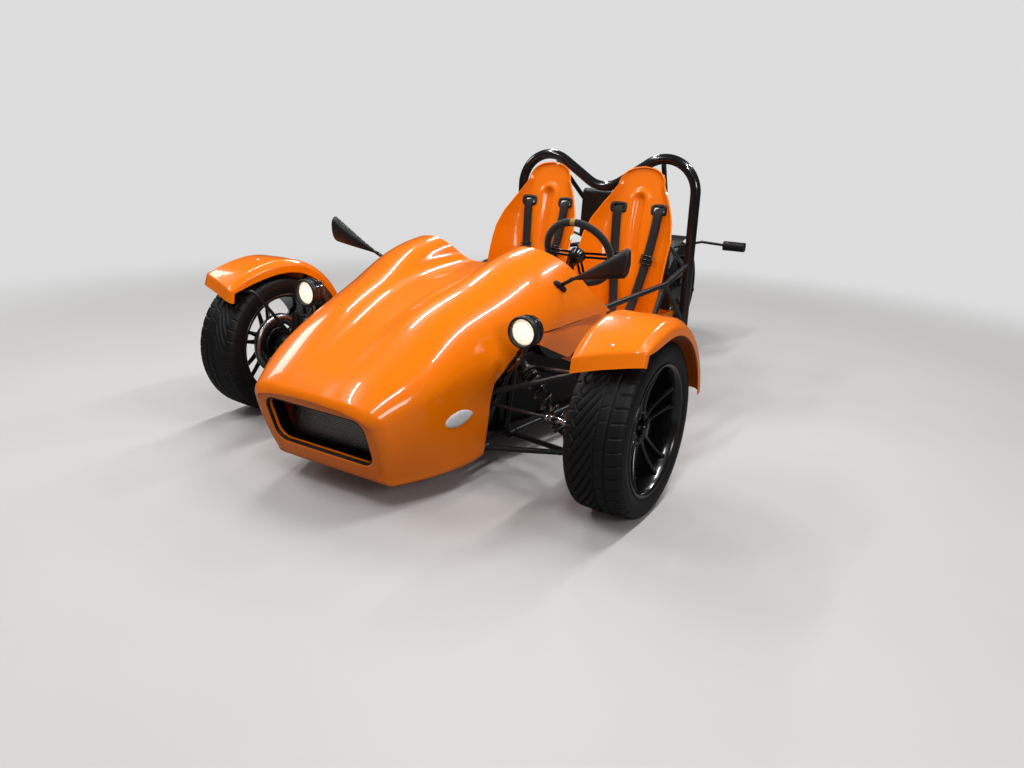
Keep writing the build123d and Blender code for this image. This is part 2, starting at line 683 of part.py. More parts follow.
# angle of each wing bolt about the axle, radius of the wing's skin there
STAY_ANGLES = ((125.4, 366), (52, 360))
for name, side in SIDES:
    with BuildPart() as upright:
        def hub_at(x, y, z):
            return at(side * x, y, z)

        strut(hub_at(KINGPIN_X, 0, KINGPIN_FOOT_Z - 16), hub_at(KINGPIN_X, 0, KINGPIN_TOP_Z + 16), 34)
        strut(hub_at(KINGPIN_X, 0, FRONT_TYRE_RADIUS), hub_at(HALF_TRACK + DISC_X - 16, 0, FRONT_TYRE_RADIUS), 84)
        strut(
            hub_at(KINGPIN_X, 0, FRONT_TYRE_RADIUS), hub_at(HALF_TRACK + STUB_LENGTH, 0, FRONT_TYRE_RADIUS),
            2 * STUB_RADIUS,
        )
        # steering arm
        strut(hub_at(KINGPIN_X, 0, 258), hub_at(TIE_ROD_END[0] + 4, TIE_ROD_END[1], 258), 22)
        knob(hub_at(TIE_ROD_END[0] + 4, TIE_ROD_END[1], 258), 26)
        # caliper: two cheeks over the disc, joined outside it
        with BuildSketch(side_plane(side * (HALF_TRACK + DISC_X), 0, FRONT_TYRE_RADIUS)) as cheeks:
            Circle(DISC_RADIUS + 30)
            Circle(84, mode=Mode.SUBTRACT)
            with BuildLine() as wedge:
                Polyline((0, 0), (260, -120), (260, 130), close=True)
            make_face(mode=Mode.INTERSECT)
        extrude(cheeks.sketch, amount=36, both=True)
        with BuildSketch(side_plane(side * (HALF_TRACK + DISC_X), 0, FRONT_TYRE_RADIUS)) as slot:
            Circle(DISC_RADIUS + 6)
        extrude(slot.sketch, amount=DISC_WIDTH / 2 + 5, both=True, mode=Mode.SUBTRACT)
        strut(hub_at(KINGPIN_X, 0, 320), hub_at(HALF_TRACK + DISC_X - 26, 100, 320), 22)
        # wing stays
        for angle, skin in STAY_ANGLES:
            lean = Vector(0, cos(radians(angle)), sin(radians(angle)))
            hub = hub_at(0, 0, FRONT_TYRE_RADIUS)
            corner = hub + lean * STAY_RADIUS
            corner.X = side * 716
            root = hub_at(704, 0, 330)
            seat_point = Vector(side * 845, corner.Y, corner.Z)
            bent_tube([root, corner, seat_point], 30, 14)
            knob(seat_point, 16)
            strut(seat_point, seat_point + lean * (skin - STAY_RADIUS), 14)
    finish(upright, f"upright_{name}")

# Wings: a narrow cover over each front tyre with bevelled shoulders, open below.
WING_RADIUS = 365
WING_HALF = 115
WING_SKIN = 4
WING_BEVEL = 26
WING_REAR_ANGLE = 9
WING_FRONT = (-305, 268)
WING_FRONT_FOOT = (-292, 226)
SKIRT_RADIUS = 312


def wing_outline(inset):
    """Side view of the wing: an arc about the axle that runs out forwards."""
    r = WING_RADIUS - inset
    with BuildLine() as outline:
        back = (r * cos(radians(WING_REAR_ANGLE)), r * sin(radians(WING_REAR_ANGLE)))
        over = (r * cos(radians(55)), r * sin(radians(55)))
        crest = (r * cos(radians(100)), r * sin(radians(100)))
        top = ThreePointArc(back, over, crest)
        run_out = TangentArc(top @ 1, (WING_FRONT[0], WING_FRONT[1] - inset), tangent=top % 1)
        if inset:
            deep = 200
            Polyline(run_out @ 1, (WING_FRONT[0], deep * 0.5), (0, 0), (deep, 0), back)
        else:
            foot = (SKIRT_RADIUS * cos(radians(WING_REAR_ANGLE + 1)), SKIRT_RADIUS * sin(radians(WING_REAR_ANGLE + 1)))
            crest_low = (SKIRT_RADIUS * cos(radians(100)), SKIRT_RADIUS * sin(radians(100)))
            over_low = (SKIRT_RADIUS * cos(radians(55)), SKIRT_RADIUS * sin(radians(55)))
            Polyline(run_out @ 1, WING_FRONT_FOOT, crest_low)
            ThreePointArc(crest_low, over_low, foot)
            Line(foot, back)
    make_face(outline.edges())


def wing_form(side, inset):
    """The wing's solid form with bevelled shoulders, drawn in by inset."""
    with BuildPart() as form:
        with BuildSketch(side_plane(side * HALF_TRACK, 0, FRONT_TYRE_RADIUS)) as wing_side:
            wing_outline(inset)
        extrude(wing_side.sketch, amount=WING_HALF - inset, both=True)
        arcs = form.edges().filter_by(GeomType.CIRCLE)
        shoulders = arcs.filter_by(lambda edge: edge.radius > WING_RADIUS - inset - 1)
        chamfer(shoulders, WING_BEVEL - inset * (2 - sqrt(2)))
    return form


for name, side in SIDES:
    with BuildPart() as wing:
        add(wing_form(side, 0).part)
        add(wing_form(side, WING_SKIN).part, mode=Mode.SUBTRACT)
        # the inner skirt is cut back, so that the stays pass under it
        inner_edge = side * (HALF_TRACK - WING_HALF)
        with BuildSketch(side_plane(inner_edge, 0, FRONT_TYRE_RADIUS)) as cut_back:
            Circle(336)
        extrude(cut_back.sketch, amount=side * 20, both=True, mode=Mode.SUBTRACT)
    finish(wing, f"wing_{name}")


def lathe_plane(centre, side):
    """A half section through an axle: local x is outboard, local y is the radius."""
    return Plane(origin=centre, x_dir=(side, 0, 0), z_dir=(0, -side, 0))


def spin(profile, centre):
    """Turns a half section about the axle through centre."""
    revolve(profile, axis=Axis(centre, (1, 0, 0)))


# Front wheels: a deep rim with five pairs of spokes, a hub that runs on the stub
# axle, and the brake disc on the hub.
BEAD_RADIUS = 215
FLANGE = 6
SPOKE_PAIRS = 5
HUB_FACE = 44
# half section of the spokes: the outer face curves from the hub out to the rim
SPOKE_INNER = ((14, 56), (34, 130), (56, 208))
SPOKE_OUTER = ((76, 208), (52, 130), (42, 56))


def spoke_star(centre, side):
    """Twin spokes: a dished disc cut down to five pairs of tapering bars."""
    with BuildPart() as star:
        with BuildSketch(lathe_plane(centre, side)) as dish:
            with BuildLine():
                inner = ThreePointArc(*SPOKE_INNER)
                outer = ThreePointArc(*SPOKE_OUTER)
                Line(inner @ 1, outer @ 0)
                Line(outer @ 1, inner @ 0)
            make_face()
        spin(dish.sketch, centre)
        with BuildSketch(side_plane(centre.X, 0, centre.Z)) as bars:
            Circle(64)
            with PolarLocations(0, SPOKE_PAIRS, start_angle=90):
                for twin in (1, -1):
                    with BuildLine() as bar:
                        Polyline(
                            (50, twin * 6), (50, twin * 32), (212, twin * 56), (212, twin * 36), (104, twin * 15),
                            close=True,
                        )
                    make_face(bar.edges())
        extrude(bars.sketch, amount=120, both=True, mode=Mode.INTERSECT)
    return star


for name, side in SIDES:
    centre = at(side * HALF_TRACK, 0, FRONT_TYRE_RADIUS)
    half = FRONT_RIM_WIDTH / 2
    with BuildPart() as rim:
        with BuildSketch(lathe_plane(centre, side)) as barrel:
            with BuildLine():
                Polyline(
                    (-half, FRONT_RIM_RADIUS), (-half, BEAD_RADIUS - 8), (-half + 20, BEAD_RADIUS - 9),
                    (half - 34, BEAD_RADIUS - 12), (half - 8, BEAD_RADIUS - 7), (half, BEAD_RADIUS + 1),
                    (half, FRONT_RIM_RADIUS), (half - FLANGE, FRONT_RIM_RADIUS), (half - FLANGE, BEAD_RADIUS),
                    (-half + FLANGE, BEAD_RADIUS), (-half + FLANGE, FRONT_RIM_RADIUS), close=True,
                )
            make_face()
        spin(barrel.sketch, centre)
        with BuildSketch(lathe_plane(centre, side)) as hub:
            with BuildLine():
                Polyline(
                    (DISC_X - DISC_WIDTH / 2, 70), (DISC_X - DISC_WIDTH / 2, DISC_RADIUS),
                    (DISC_X + DISC_WIDTH / 2, DISC_RADIUS), (DISC_X + DISC_WIDTH / 2, 78), (0, 74),
                    (HUB_FACE - 22, 74), (HUB_FACE, 60), (HUB_FACE, STUB_RADIUS + RUNNING_GAP),
                    (0, STUB_RADIUS + RUNNING_GAP), (0, 66), (DISC_X, 70), close=True,
                )
            make_face()
        spin(hub.sketch, centre)
        add(spoke_star(centre, side).part)
    finish(rim, f"rim_{name}")
    with BuildPart() as tyre:
        wide = FRONT_TYRE_WIDTH / 2
        with BuildSketch(lathe_plane(centre, side)) as tyre_section:
            with BuildLine():
                tread = Line((-wide + 26, FRONT_TYRE_RADIUS - 2), (wide - 26, FRONT_TYRE_RADIUS - 2))
                for end in (1, -1):
                    shoulder = ThreePointArc(
                        (end * (wide - 26), FRONT_TYRE_RADIUS - 2),
                        (end * (wide - 7), FRONT_TYRE_RADIUS - 10),
                        (end * (wide - 2), FRONT_TYRE_RADIUS - 26),
                    )
                    wall = ThreePointArc(
                        shoulder @ 1, (end * wide, 250), (end * (half - FLANGE - 0.5), FRONT_RIM_RADIUS + 2)
                    )
                    Line(wall @ 1, (end * (half - FLANGE - 0.5), BEAD_RADIUS + 0.5))
                Line((-half + FLANGE + 0.5, BEAD_RADIUS + 0.5), (half - FLANGE - 0.5, BEAD_RADIUS + 0.5))
            make_face()
        spin(tyre_section.sketch, centre)
    finish(tyre, f"tyre_{name}")

# Rear wheel: a narrower rim on the axle with the brake disc on the right and the
# sprocket on the left.
centre = at(0, WHEELBASE, REAR_TYRE_RADIUS)
half = REAR_RIM_WIDTH / 2
with BuildPart() as rear_rim:
    with BuildSketch(lathe_plane(centre, 1)) as barrel:
        with BuildLine():
            Polyline(
                (-half, REAR_RIM_RADIUS), (-half, BEAD_RADIUS - 8), (0, BEAD_RADIUS - 14), (half, BEAD_RADIUS - 8),
                (half, REAR_RIM_RADIUS), (half - FLANGE, REAR_RIM_RADIUS), (half - FLANGE, BEAD_RADIUS),
                (-half + FLANGE, BEAD_RADIUS), (-half + FLANGE, REAR_RIM_RADIUS), close=True,
            )
        make_face()
    spin(barrel.sketch, centre)
    with BuildSketch(lathe_plane(centre, 1)) as hub:
        with BuildLine():
            Polyline(
                (-90, REAR_AXLE_RADIUS + RUNNING_GAP), (-90, 60), (-76, 60), (-70, 42), (70, 42), (82, 52),
                (82, REAR_AXLE_RADIUS + RUNNING_GAP), close=True,
            )
        make_face()
    spin(hub.sketch, centre)
    with BuildSketch(side_plane(-14, WHEELBASE, REAR_TYRE_RADIUS)) as spokes:
        with PolarLocations(0, SPOKE_PAIRS, start_angle=90):
            for twin in (1, -1):
                with BuildLine() as bar:
                    Polyline(
                        (36, twin * 8), (36, twin * 30), (BEAD_RADIUS - 10, twin * 34), (BEAD_RADIUS - 10, twin * 18),
                        close=True,
                    )
                make_face(bar.edges())
    extrude(spokes.sketch, amount=28)
    with BuildSketch(side_plane(-96, WHEELBASE, REAR_TYRE_RADIUS)) as disc:
        Circle(110)
        Circle(REAR_AXLE_RADIUS + RUNNING_GAP, mode=Mode.SUBTRACT)
    extrude(disc.sketch, amount=6)
    with BuildSketch(side_plane(82, WHEELBASE, REAR_TYRE_RADIUS)) as carrier:
        Circle(44)
        Circle(REAR_AXLE_RADIUS + RUNNING_GAP, mode=Mode.SUBTRACT)
    extrude(carrier.sketch, amount=CHAIN_X - 3 - 82)
    with BuildSketch(side_plane(CHAIN_X - 3, WHEELBASE, REAR_TYRE_RADIUS)) as toothed:
        Circle(REAR_SPROCKET_RADIUS)
        Circle(REAR_AXLE_RADIUS + RUNNING_GAP, mode=Mode.SUBTRACT)
        with PolarLocations(66, 6):
            Circle(18, mode=Mode.SUBTRACT)
    extrude(toothed.sketch, amount=6)
finish(rear_rim, "rear_rim")

with BuildPart() as rear_tyre:
    wide = REAR_TYRE_WIDTH / 2
    with BuildSketch(lathe_plane(centre, 1)) as tyre_section:
        with BuildLine():
            crown = ThreePointArc((-wide, 264), (0, REAR_TYRE_RADIUS), (wide, 264))
            for end in (1, -1):
                wall = ThreePointArc(
                    (end * wide, 264), (end * (wide - 4), 244), (end * (half - FLANGE - 0.5), REAR_RIM_RADIUS + 2)
                )
                Line(wall @ 1, (end * (half - FLANGE - 0.5), BEAD_RADIUS + 0.5))
            Line((-half + FLANGE + 0.5, BEAD_RADIUS + 0.5), (half - FLANGE - 0.5, BEAD_RADIUS + 0.5))
        make_face()
    spin(tyre_section.sketch, centre)
finish(rear_tyre, "rear_tyre")

# Steering wheel on its shaft: a padded ring, three spokes and a boss.
RING_TUBE = 28
with BuildPart() as steering_wheel:
    middle = at(*STEER_WHEEL_CENTRE)
    face = Plane(origin=middle, x_dir=(1, 0, 0), z_dir=column)
    with BuildSketch(Plane(origin=middle, x_dir=(1, 0, 0), z_dir=face.y_dir)) as ring:
        with Locations((STEER_WHEEL_RADIUS, 0)):
            Circle(RING_TUBE / 2)
    revolve(ring.sketch, axis=Axis(middle, column))
    dish = Plane(origin=middle - column * 12, x_dir=(1, 0, 0), z_dir=column)
    with BuildSketch(dish) as spokes:
        Circle(34)
        for angle in (0, 90, 180):
            with Locations(Location((0, 0, 0), (0, 0, angle))):
                with Locations((STEER_WHEEL_RADIUS / 2, 0)):
                    Rectangle(STEER_WHEEL_RADIUS, 26)
    extrude(spokes.sketch, amount=5)
    with BuildSketch(dish) as boss:
        Circle(30)
    extrude(boss.sketch, amount=-46)
    strut(middle - column * 50, pinion + column * 60, 20)
finish(steering_wheel, "steering_wheel")

# Headlamps: a round canister on a bracket from the tower of each coil-over.
LAMP = (499, -83, 575)
LAMP_RADIUS = 52
for name, side in SIDES:
    lamp = at(side * LAMP[0], LAMP[1], LAMP[2])
    with BuildPart() as headlight:
        with BuildSketch(Plane(origin=lamp, x_dir=(0, 1, 0), z_dir=(1, 0, 0))) as can:
            Polygon(
                (34, 0), (-26, 0), (-26, 44), (-34, 44), (-34, LAMP_RADIUS), (14, LAMP_RADIUS), (28, 40), (34, 22),
                align=None,
            )
        revolve(can.sketch, axis=Axis(lamp, (0, 1, 0)))
        elbow = at(side * 480, -92, 464)
        on_tower = at(side * 398, -60, 392)
        strut(lamp - Vector(0, 0, 40), elbow, 16)
        knob(elbow, 17, 90 - 90 * side)
        strut(elbow, on_tower, 16)
    finish(headlight, f"headlight_{name}")

# Mirrors: a foot that follows the cowl, a stalk and a long tapered head.
MIRROR_FOOT = (421, 280, 669)
MIRROR_HEAD = (628, 252, 764)
for name, side in SIDES:
    with BuildPart() as mirror_arm:
        foot = at(side * MIRROR_FOOT[0], MIRROR_FOOT[1], MIRROR_FOOT[2])
        head = at(side * MIRROR_HEAD[0], MIRROR_HEAD[1], MIRROR_HEAD[2])
        away = Vector(side * 0.72, 0, 0.69)
        strut(foot - away * 60, foot + away * 12, 46)
        strut(foot + away * 6, head - Vector(side * 26, 0, 12), 13)
        with BuildSketch(section_plane(MIRROR_HEAD[1] + 14, side * MIRROR_HEAD[0], MIRROR_HEAD[2])) as outline:
            with BuildLine():
                Polyline(
                    (-side * 72, -34), (side * 40, -42), (side * 74, -6), (side * 66, 42), (side * 20, 42),
                    close=True,
                )
            make_face()
            fillet(outline.vertices(), 14)
        extrude(outline.sketch, amount=52, taper=18)
        add(outer_form.part, mode=Mode.SUBTRACT)
    finish(mirror_arm, f"mirror_{name}")

# Front turn lamps: a clear oval lens on each flank of the nose.
with BuildPart() as turn_lamps:
    for _, side in SIDES:
        with BuildSketch(side_plane(side * 320, -214, 268)) as lens:
            Ellipse(26, 15)
        extrude(lens.sketch, amount=side * 56)
    add(outer_form.part, mode=Mode.SUBTRACT)
finish(turn_lamps, "turn_lamps")

# Rear lamps: a turn lamp on a stalk each side and a tail lamp behind the frame.
with BuildPart() as rear_lamps:
    for _, side in SIDES:
        root = at(side * 268, 1900, 657)
        elbow = at(side * 420, 1900, 700)
        strut(root, elbow, 14)
        knob(elbow, 15, 90 - 90 * side)
        strut(elbow, at(side * 552, 1900, 694), 14)
        with BuildSketch(side_plane(side * 545, 1900, 692)) as pod:
            RectangleRounded(56, 48, 20)
        extrude(pod.sketch, amount=side * 110)
    with BuildSketch(section_plane(2120, 0, 700)) as tail:
        RectangleRounded(150, 56, 22)
    extrude(tail.sketch, amount=34)
    strut(at(0, 2100, 690), at(0, 2068, 666), 24)
finish(rear_lamps, "rear_lamps")

# Harnesses: two flat shoulder straps on each seat, from the slots to the hips.
STRAP_WIDTH = 46
with BuildPart() as harnesses:
    for _, side in SIDES:
        for inboard in (-108, 108):
            with BuildSketch(side_plane(side * SEAT_X + inboard)) as strap:
                with BuildLine():
                    Polyline(
                        (1352, 896), (1320, 760), (1282, 560), (1228, 420), (1224, 424), (1278, 562), (1316, 762),
                        (1348, 898), close=True,
                    )
                make_face()
            extrude(strap.sketch, amount=STRAP_WIDTH / 2, both=True)
finish(harnesses, "harnesses")

# Pedals: three arms with pads on a plate on the floor.
with BuildPart() as pedals:
    with BuildSketch(floor_plane(TUB_FLOOR_Z + SKIN)) as base:
        with Locations((200, 110)):
            Rectangle(170, 90)
    extrude(base.sketch, amount=6)
    for x in (140, 200, 258):
        strut(at(x, 120, TUB_FLOOR_Z + SKIN + 5), at(x, 80, 262), 14)
        with BuildSketch(Plane(origin=at(x, 80, 262), x_dir=(1, 0, 0), z_dir=(0, 0.87, 0.5))) as pad:
            RectangleRounded(46, 64, 10)
        extrude(pad.sketch, amount=10)
finish(pedals, "pedals")

# Hand lever: a straight bar beside the driver with a round gaiter at its foot.
with BuildPart() as hand_lever:
    with BuildSketch(floor_plane(TUB_FLOOR_Z + SKIN)) as gaiter:
        with Locations((0, 900)):
            Circle(34)
    extrude(gaiter.sketch, amount=60, taper=20)
    strut(at(0, 900, 190), at(0, 860, 470), 16)
    knob(at(0, 860, 470), 36)
finish(hand_lever, "hand_lever")
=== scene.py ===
from math import atan2, cos, hypot, pi, radians, sin

import bmesh
import bpy
import numpy as np
from mathutils import Matrix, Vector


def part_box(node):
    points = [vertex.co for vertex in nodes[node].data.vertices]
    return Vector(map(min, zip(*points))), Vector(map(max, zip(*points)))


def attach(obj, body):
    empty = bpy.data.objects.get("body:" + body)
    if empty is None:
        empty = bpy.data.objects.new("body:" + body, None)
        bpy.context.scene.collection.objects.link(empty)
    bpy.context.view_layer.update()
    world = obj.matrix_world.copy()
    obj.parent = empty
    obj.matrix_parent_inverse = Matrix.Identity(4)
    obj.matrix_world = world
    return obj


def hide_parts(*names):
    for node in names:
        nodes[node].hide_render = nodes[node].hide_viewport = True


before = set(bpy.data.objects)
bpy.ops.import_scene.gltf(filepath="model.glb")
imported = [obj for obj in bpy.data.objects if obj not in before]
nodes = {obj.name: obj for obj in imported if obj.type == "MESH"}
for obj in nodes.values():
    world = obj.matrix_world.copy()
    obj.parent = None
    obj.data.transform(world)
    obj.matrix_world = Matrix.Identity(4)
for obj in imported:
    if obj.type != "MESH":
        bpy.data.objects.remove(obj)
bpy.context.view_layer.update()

# Chassis: round steel tube, cut, coped and welded, then powder coated satin black. The
# wishbones, the swingarm and the knuckles are finished the same way.


def feed(tree, node, inputs):
    """Each of a shader node's inputs takes a value or a link from another node's output."""
    for key, value in inputs.items():
        if isinstance(value, bpy.types.NodeSocket):
            tree.links.new(value, node.inputs[key])
        else:
            node.inputs[key].default_value = value


def add_node(tree, kind, inputs, **settings):
    """A new shader node; gives its outputs."""
    node = tree.nodes.new("ShaderNode" + kind)
    for key, value in settings.items():
        setattr(node, key, value)
    feed(tree, node, inputs)
    return node.outputs


def coating(name, slot, colour, roughness, metallic=0.0, speckle=0.12, patch=9.0, grain=0.0,
            grain_size=900.0, coat=0.0, specular=0.5):
    """A surface finish for one of the record's slots: slow noise of size `patch` shifts the
    colour and the roughness by `speckle`, and fine noise of size `grain_size` lifts the
    surface by `grain`."""
    material = bpy.data.materials.new(name)
    material["slot"] = slot
    material.use_nodes = True
    tree = material.node_tree
    place = add_node(tree, "TexCoord", {})["Object"]
    slow = add_node(tree, "TexNoise", {"Vector": place, "Scale": patch, "Detail": 4.0})["Fac"]
    dark = (*[c * (1 - speckle) for c in colour], 1)
    bright = (*[min(1, c * (1 + speckle)) for c in colour], 1)
    tint = add_node(tree, "Mix", {"A": dark, "B": bright, "Factor": slow}, data_type="RGBA")
    sheen = add_node(tree, "MapRange", {
        "Value": slow, "To Min": roughness * (1 - speckle), "To Max": roughness * (1 + speckle),
    })
    feed(tree, tree.nodes["Principled BSDF"], {
        "Base Color": tint["Result"], "Roughness": sheen["Result"], "Metallic": metallic,
        "Coat Weight": coat, "Coat Roughness": 0.03, "Specular IOR Level": specular,
    })
    if grain:
        fine = add_node(tree, "TexNoise", {"Vector": place, "Scale": grain_size, "Detail": 2.0})["Fac"]
        bump = add_node(tree, "Bump", {"Strength": grain, "Distance": 0.001, "Height": fine})
        feed(tree, tree.nodes["Principled BSDF"], {"Normal": bump["Normal"]})
    return material


def finish_nodes(material, *names):
    """CAD pieces that keep their shape take the material."""
    for name in names:
        slots = nodes[name].data.materials
        slots.clear()
        slots.append(material)


powder_coat = coating("powder_coat", "frame_black", (0.012, 0.012, 0.013), 0.32, grain=0.25, grain_size=1400)
finish_nodes(
    powder_coat, "front_frame", "side_frames", "rear_frame", "wishbones_left", "wishbones_right",
    "swingarm", "upright_left", "upright_right", "firewall", "tie_rods", "hand_lever",
)
gloss_black = coating("gloss_black", "hoop_black", (0.006, 0.006, 0.007), 0.2, coat=0.8)
finish_nodes(gloss_black, "roll_hoop", "headlight_left", "headlight_right")
wheel_black = coating("wheel_black", "wheel_black", (0.005, 0.005, 0.006), 0.22, coat=0.5)
finish_nodes(wheel_black, "rear_rim")
plastic = coating("black_plastic", "dark_plastic", (0.008, 0.008, 0.0085), 0.42, grain=0.4, grain_size=1100)
finish_nodes(plastic, "dash", "rear_mudguard", "rear_lamps", "fuel_tank")
alloy = coating("cast_alloy", "alloy", (0.5, 0.5, 0.5), 0.38, metallic=1.0, grain=0.2, grain_size=500)
finish_nodes(alloy, "radiator", "steering_rack", "pedals")
dark_alloy = coating("engine_black", "engine_black", (0.03, 0.03, 0.03), 0.5, grain=0.5, grain_size=600)
finish_nodes(dark_alloy, "engine")

# Cockpit tub: one glass fibre moulding. Its side panels are orange, and its front and lower
# part is black as painted shade, for the shadow beneath them.


def orange_gelcoat(name):
    """The orange of all the mouldings."""
    return coating(name, "body_orange", (0.96, 0.195, 0.0), 0.26, speckle=0.02, patch=3.0,
                   coat=0.7, specular=0.2)


def tub_gelcoat_and_painted_shade():
    """Orange gelcoat behind the slanting plane Y + 2.4 Z = 0.101, and before it black as painted shade."""
    material = orange_gelcoat("tub_gelcoat_with_painted_shade")
    tree = material.node_tree
    place = tree.nodes["Texture Coordinate"].outputs["Object"]
    orange = tree.nodes["Mix"].outputs["Result"]
    # painted shade: black for the shadow under the tub's orange sides, before the slanting plane
    black = (0.006, 0.006, 0.006, 1)
    slant = add_node(tree, "VectorMath", {0: place, 1: (0, 1, 2.4)}, operation="DOT_PRODUCT")["Value"]
    behind = add_node(tree, "Math", {0: slant, 1: 0.101}, operation="GREATER_THAN")["Value"]
    gelcoat_and_shade = add_node(tree, "Mix", {"A": black, "B": orange, "Factor": behind}, data_type="RGBA")
    coat = add_node(tree, "Math", {0: behind, 1: 0.7}, operation="MULTIPLY")
    feed(tree, tree.nodes["Principled BSDF"], {
        "Base Color": gelcoat_and_shade["Result"], "Coat Weight": coat["Value"],
    })
    return material


finish_nodes(tub_gelcoat_and_painted_shade(), "cockpit_tub")
gelcoat = orange_gelcoat("orange_gelcoat")

# Nose cowl: one gel coated glass fibre moulding, 5 mm thick, screwed to the frame. It
# has a round edged mouth in front, a hump before each seat, a flat hollow between them
# and a swollen flank before each damper.
AXLE_Y = -1.153
COWL_SKIN = 0.005
# where the cut-out for the wheel starts: station and height
CUT_Y, CUT_Z = -112, 380
# station, centre height, crest x, crest height, widest x, its height, foot x, foot
# height in millimetres, and the degrees that the shoulder's first arc turns
COWL_ROWS = np.array([
    (-620, 360, 110, 354, 254, 298, 232, 98, 13),
    (-560, 410, 118, 407, 281, 324, 236, 95, 18),
    (-450, 470, 135, 478, 331, 370, 280, 93, 22),
    (-230, 579, 160, 603, 372, 420, 356, 92, 30),
    (0, 645, 196, 683, 414, 478, 390, 180, 40),
    (200, 675, 222, 758, 442, 535, 432, 430, 45),
    (330, 683, 228, 785, 444, 537, 446, 440, 48),
    (680, 684, 234, 790, 462, 546, 458, 450, 46),
], float)
# swellings and dents of the flank: station, height, half length, half height, outwards
COWL_BUMPS = ((-128, 442, 26, 56, 12), (392, 640, 70, 50, -6))
# how far the low part of the flank is tucked in
TUCK = 13
# station and height along the moulding's lower edge and along the cockpit's edge
LOWER_EDGE = np.array([(CUT_Y, CUT_Z), (-32, 450), (20, 500), (110, 522), (660, 522)], float)
COCKPIT_EDGE = np.array([(332, 786), (402, 728), (505, 615), (650, 522)], float)
FOOT_RADIUS = 20.0
# shares of a section's first and last part: the hollow's flat and the foot's bend
HOLLOW_FLAT, FOOT_BEND = 0.3, 0.4
# rows of points on the rounded front edge
EDGE_ROWS = 9
# the flat face leans back: its station is FACE_Y at the height FACE_Z
FACE_Y, FACE_Z, FACE_SLOPE = -612, 416, 0.3293
MOUTH_HALF, MOUTH_LOW, MOUTH_HIGH, MOUTH_CORNER = 220.0, 164.0, 334.0, 46.0


def spline(knots, rows, y):
    """Natural cubic spline through the rows: its second derivatives m solve
    h0 m0 + 2 (h0 + h1) m1 + h1 m2 = 6 (d1 - d0) at each inner knot."""
    h = np.diff(knots)
    rise = np.diff(rows, axis=0) / h[:, None]
    system = np.eye(len(knots))
    inner = np.arange(1, len(knots) - 1)
    system[inner, inner - 1] = h[:-1]
    system[inner, inner] = 2 * (h[:-1] + h[1:])
    system[inner, inner + 1] = h[1:]
    right = np.zeros_like(rows)
    right[1:-1] = 6 * np.diff(rise, axis=0)
    m = np.linalg.solve(system, right)
    k = np.clip(np.searchsorted(knots, y) - 1, 0, len(h) - 1)
    a, b, g = (knots[k + 1] - y)[..., None], (y - knots[k])[..., None], h[k][..., None]
    bend = (m[k] * a ** 3 + m[k + 1] * b ** 3) / (6 * g)
    return bend + (rows[k] / g - m[k] * g / 6) * a + (rows[k + 1] / g - m[k + 1] * g / 6) * b


def ramp(value, start, end):
    """0 up to start and 1 from end on, with a straight line between them."""
    return np.clip((value - start) / (end - start), 0, 1)


def cowl_values(y):
    """The table's columns at stations y, each as its own array, and the shoulder's radii."""
    centre, crest_x, crest_z, wide_x, wide_z, foot_x, foot_z, turn = np.moveaxis(
        spline(COWL_ROWS[:, 0], COWL_ROWS[:, 1:], y), -1, 0)
    turn = np.radians(turn)
    a, b = wide_x - crest_x, crest_z - wide_z
    cross = np.sin(turn) * np.cos(turn) - (1 - np.sin(turn)) * (1 - np.cos(turn))
    first = (a * np.cos(turn) - b * (1 - np.sin(turn))) / cross
    second = (b * np.sin(turn) - a * (1 - np.cos(turn))) / cross
    return centre, crest_x, crest_z, wide_x, wide_z, foot_x, foot_z, turn, first, second


def cowl_point(y, c):
    """Half of a section at station y: c runs 0-1 over the hollow (a flat and two arcs),
    1-2 round the shoulder (two arcs), 2-3 down the flank (a parabola) and 3-4 round the
    foot to the middle. Gives x and z."""
    centre, crest_x, crest_z, wide_x, wide_z, foot_x, foot_z, turn, first, second = cowl_values(y)
    run, rise = crest_x * (1 - HOLLOW_FLAT), crest_z - centre
    rise = np.where(np.abs(rise) < 0.5, 0.5, rise)
    radius = (run ** 2 + rise ** 2) / (4 * rise)
    size, way = np.abs(radius), np.sign(radius)
    along = ramp(c, HOLLOW_FLAT, 1) * run
    low = centre + way * (size - np.sqrt(np.maximum(size ** 2 - along ** 2, 0)))
    high = crest_z - way * (size - np.sqrt(np.maximum(size ** 2 - (run - along) ** 2, 0)))
    x, z = crest_x * np.minimum(c, 1), np.where(along < run / 2, low, high)
    t = np.clip(c - 1, 0, 1)
    angle = turn * np.minimum(2 * t, 1)
    x = np.where(c > 1, crest_x + first * np.sin(angle), x)
    z = np.where(c > 1, crest_z - first * (1 - np.cos(angle)), z)
    angle = turn + (pi / 2 - turn) * np.clip(2 * t - 1, 0, 1)
    x = np.where(c > 1.5, wide_x - second * (1 - np.sin(angle)), x)
    z = np.where(c > 1.5, wide_z + second * np.cos(angle), z)
    t = np.clip(c - 2, 0, 1)
    x = np.where(c > 2, wide_x - (wide_x - foot_x) * t ** 2, x)
    z = np.where(c > 2, wide_z - (wide_z - foot_z - FOOT_RADIUS) * t, z)
    t = np.clip(c - 3, 0, 1)
    angle = pi / 2 * ramp(t, 0, FOOT_BEND)
    flat = 1 - ramp(t, FOOT_BEND, 1)
    x = np.where(c > 3, (foot_x - FOOT_RADIUS) * flat + FOOT_RADIUS * np.cos(angle), x)
    z = np.where(c > 3, foot_z + FOOT_RADIUS * (1 - np.sin(angle)), z)
    return x, z


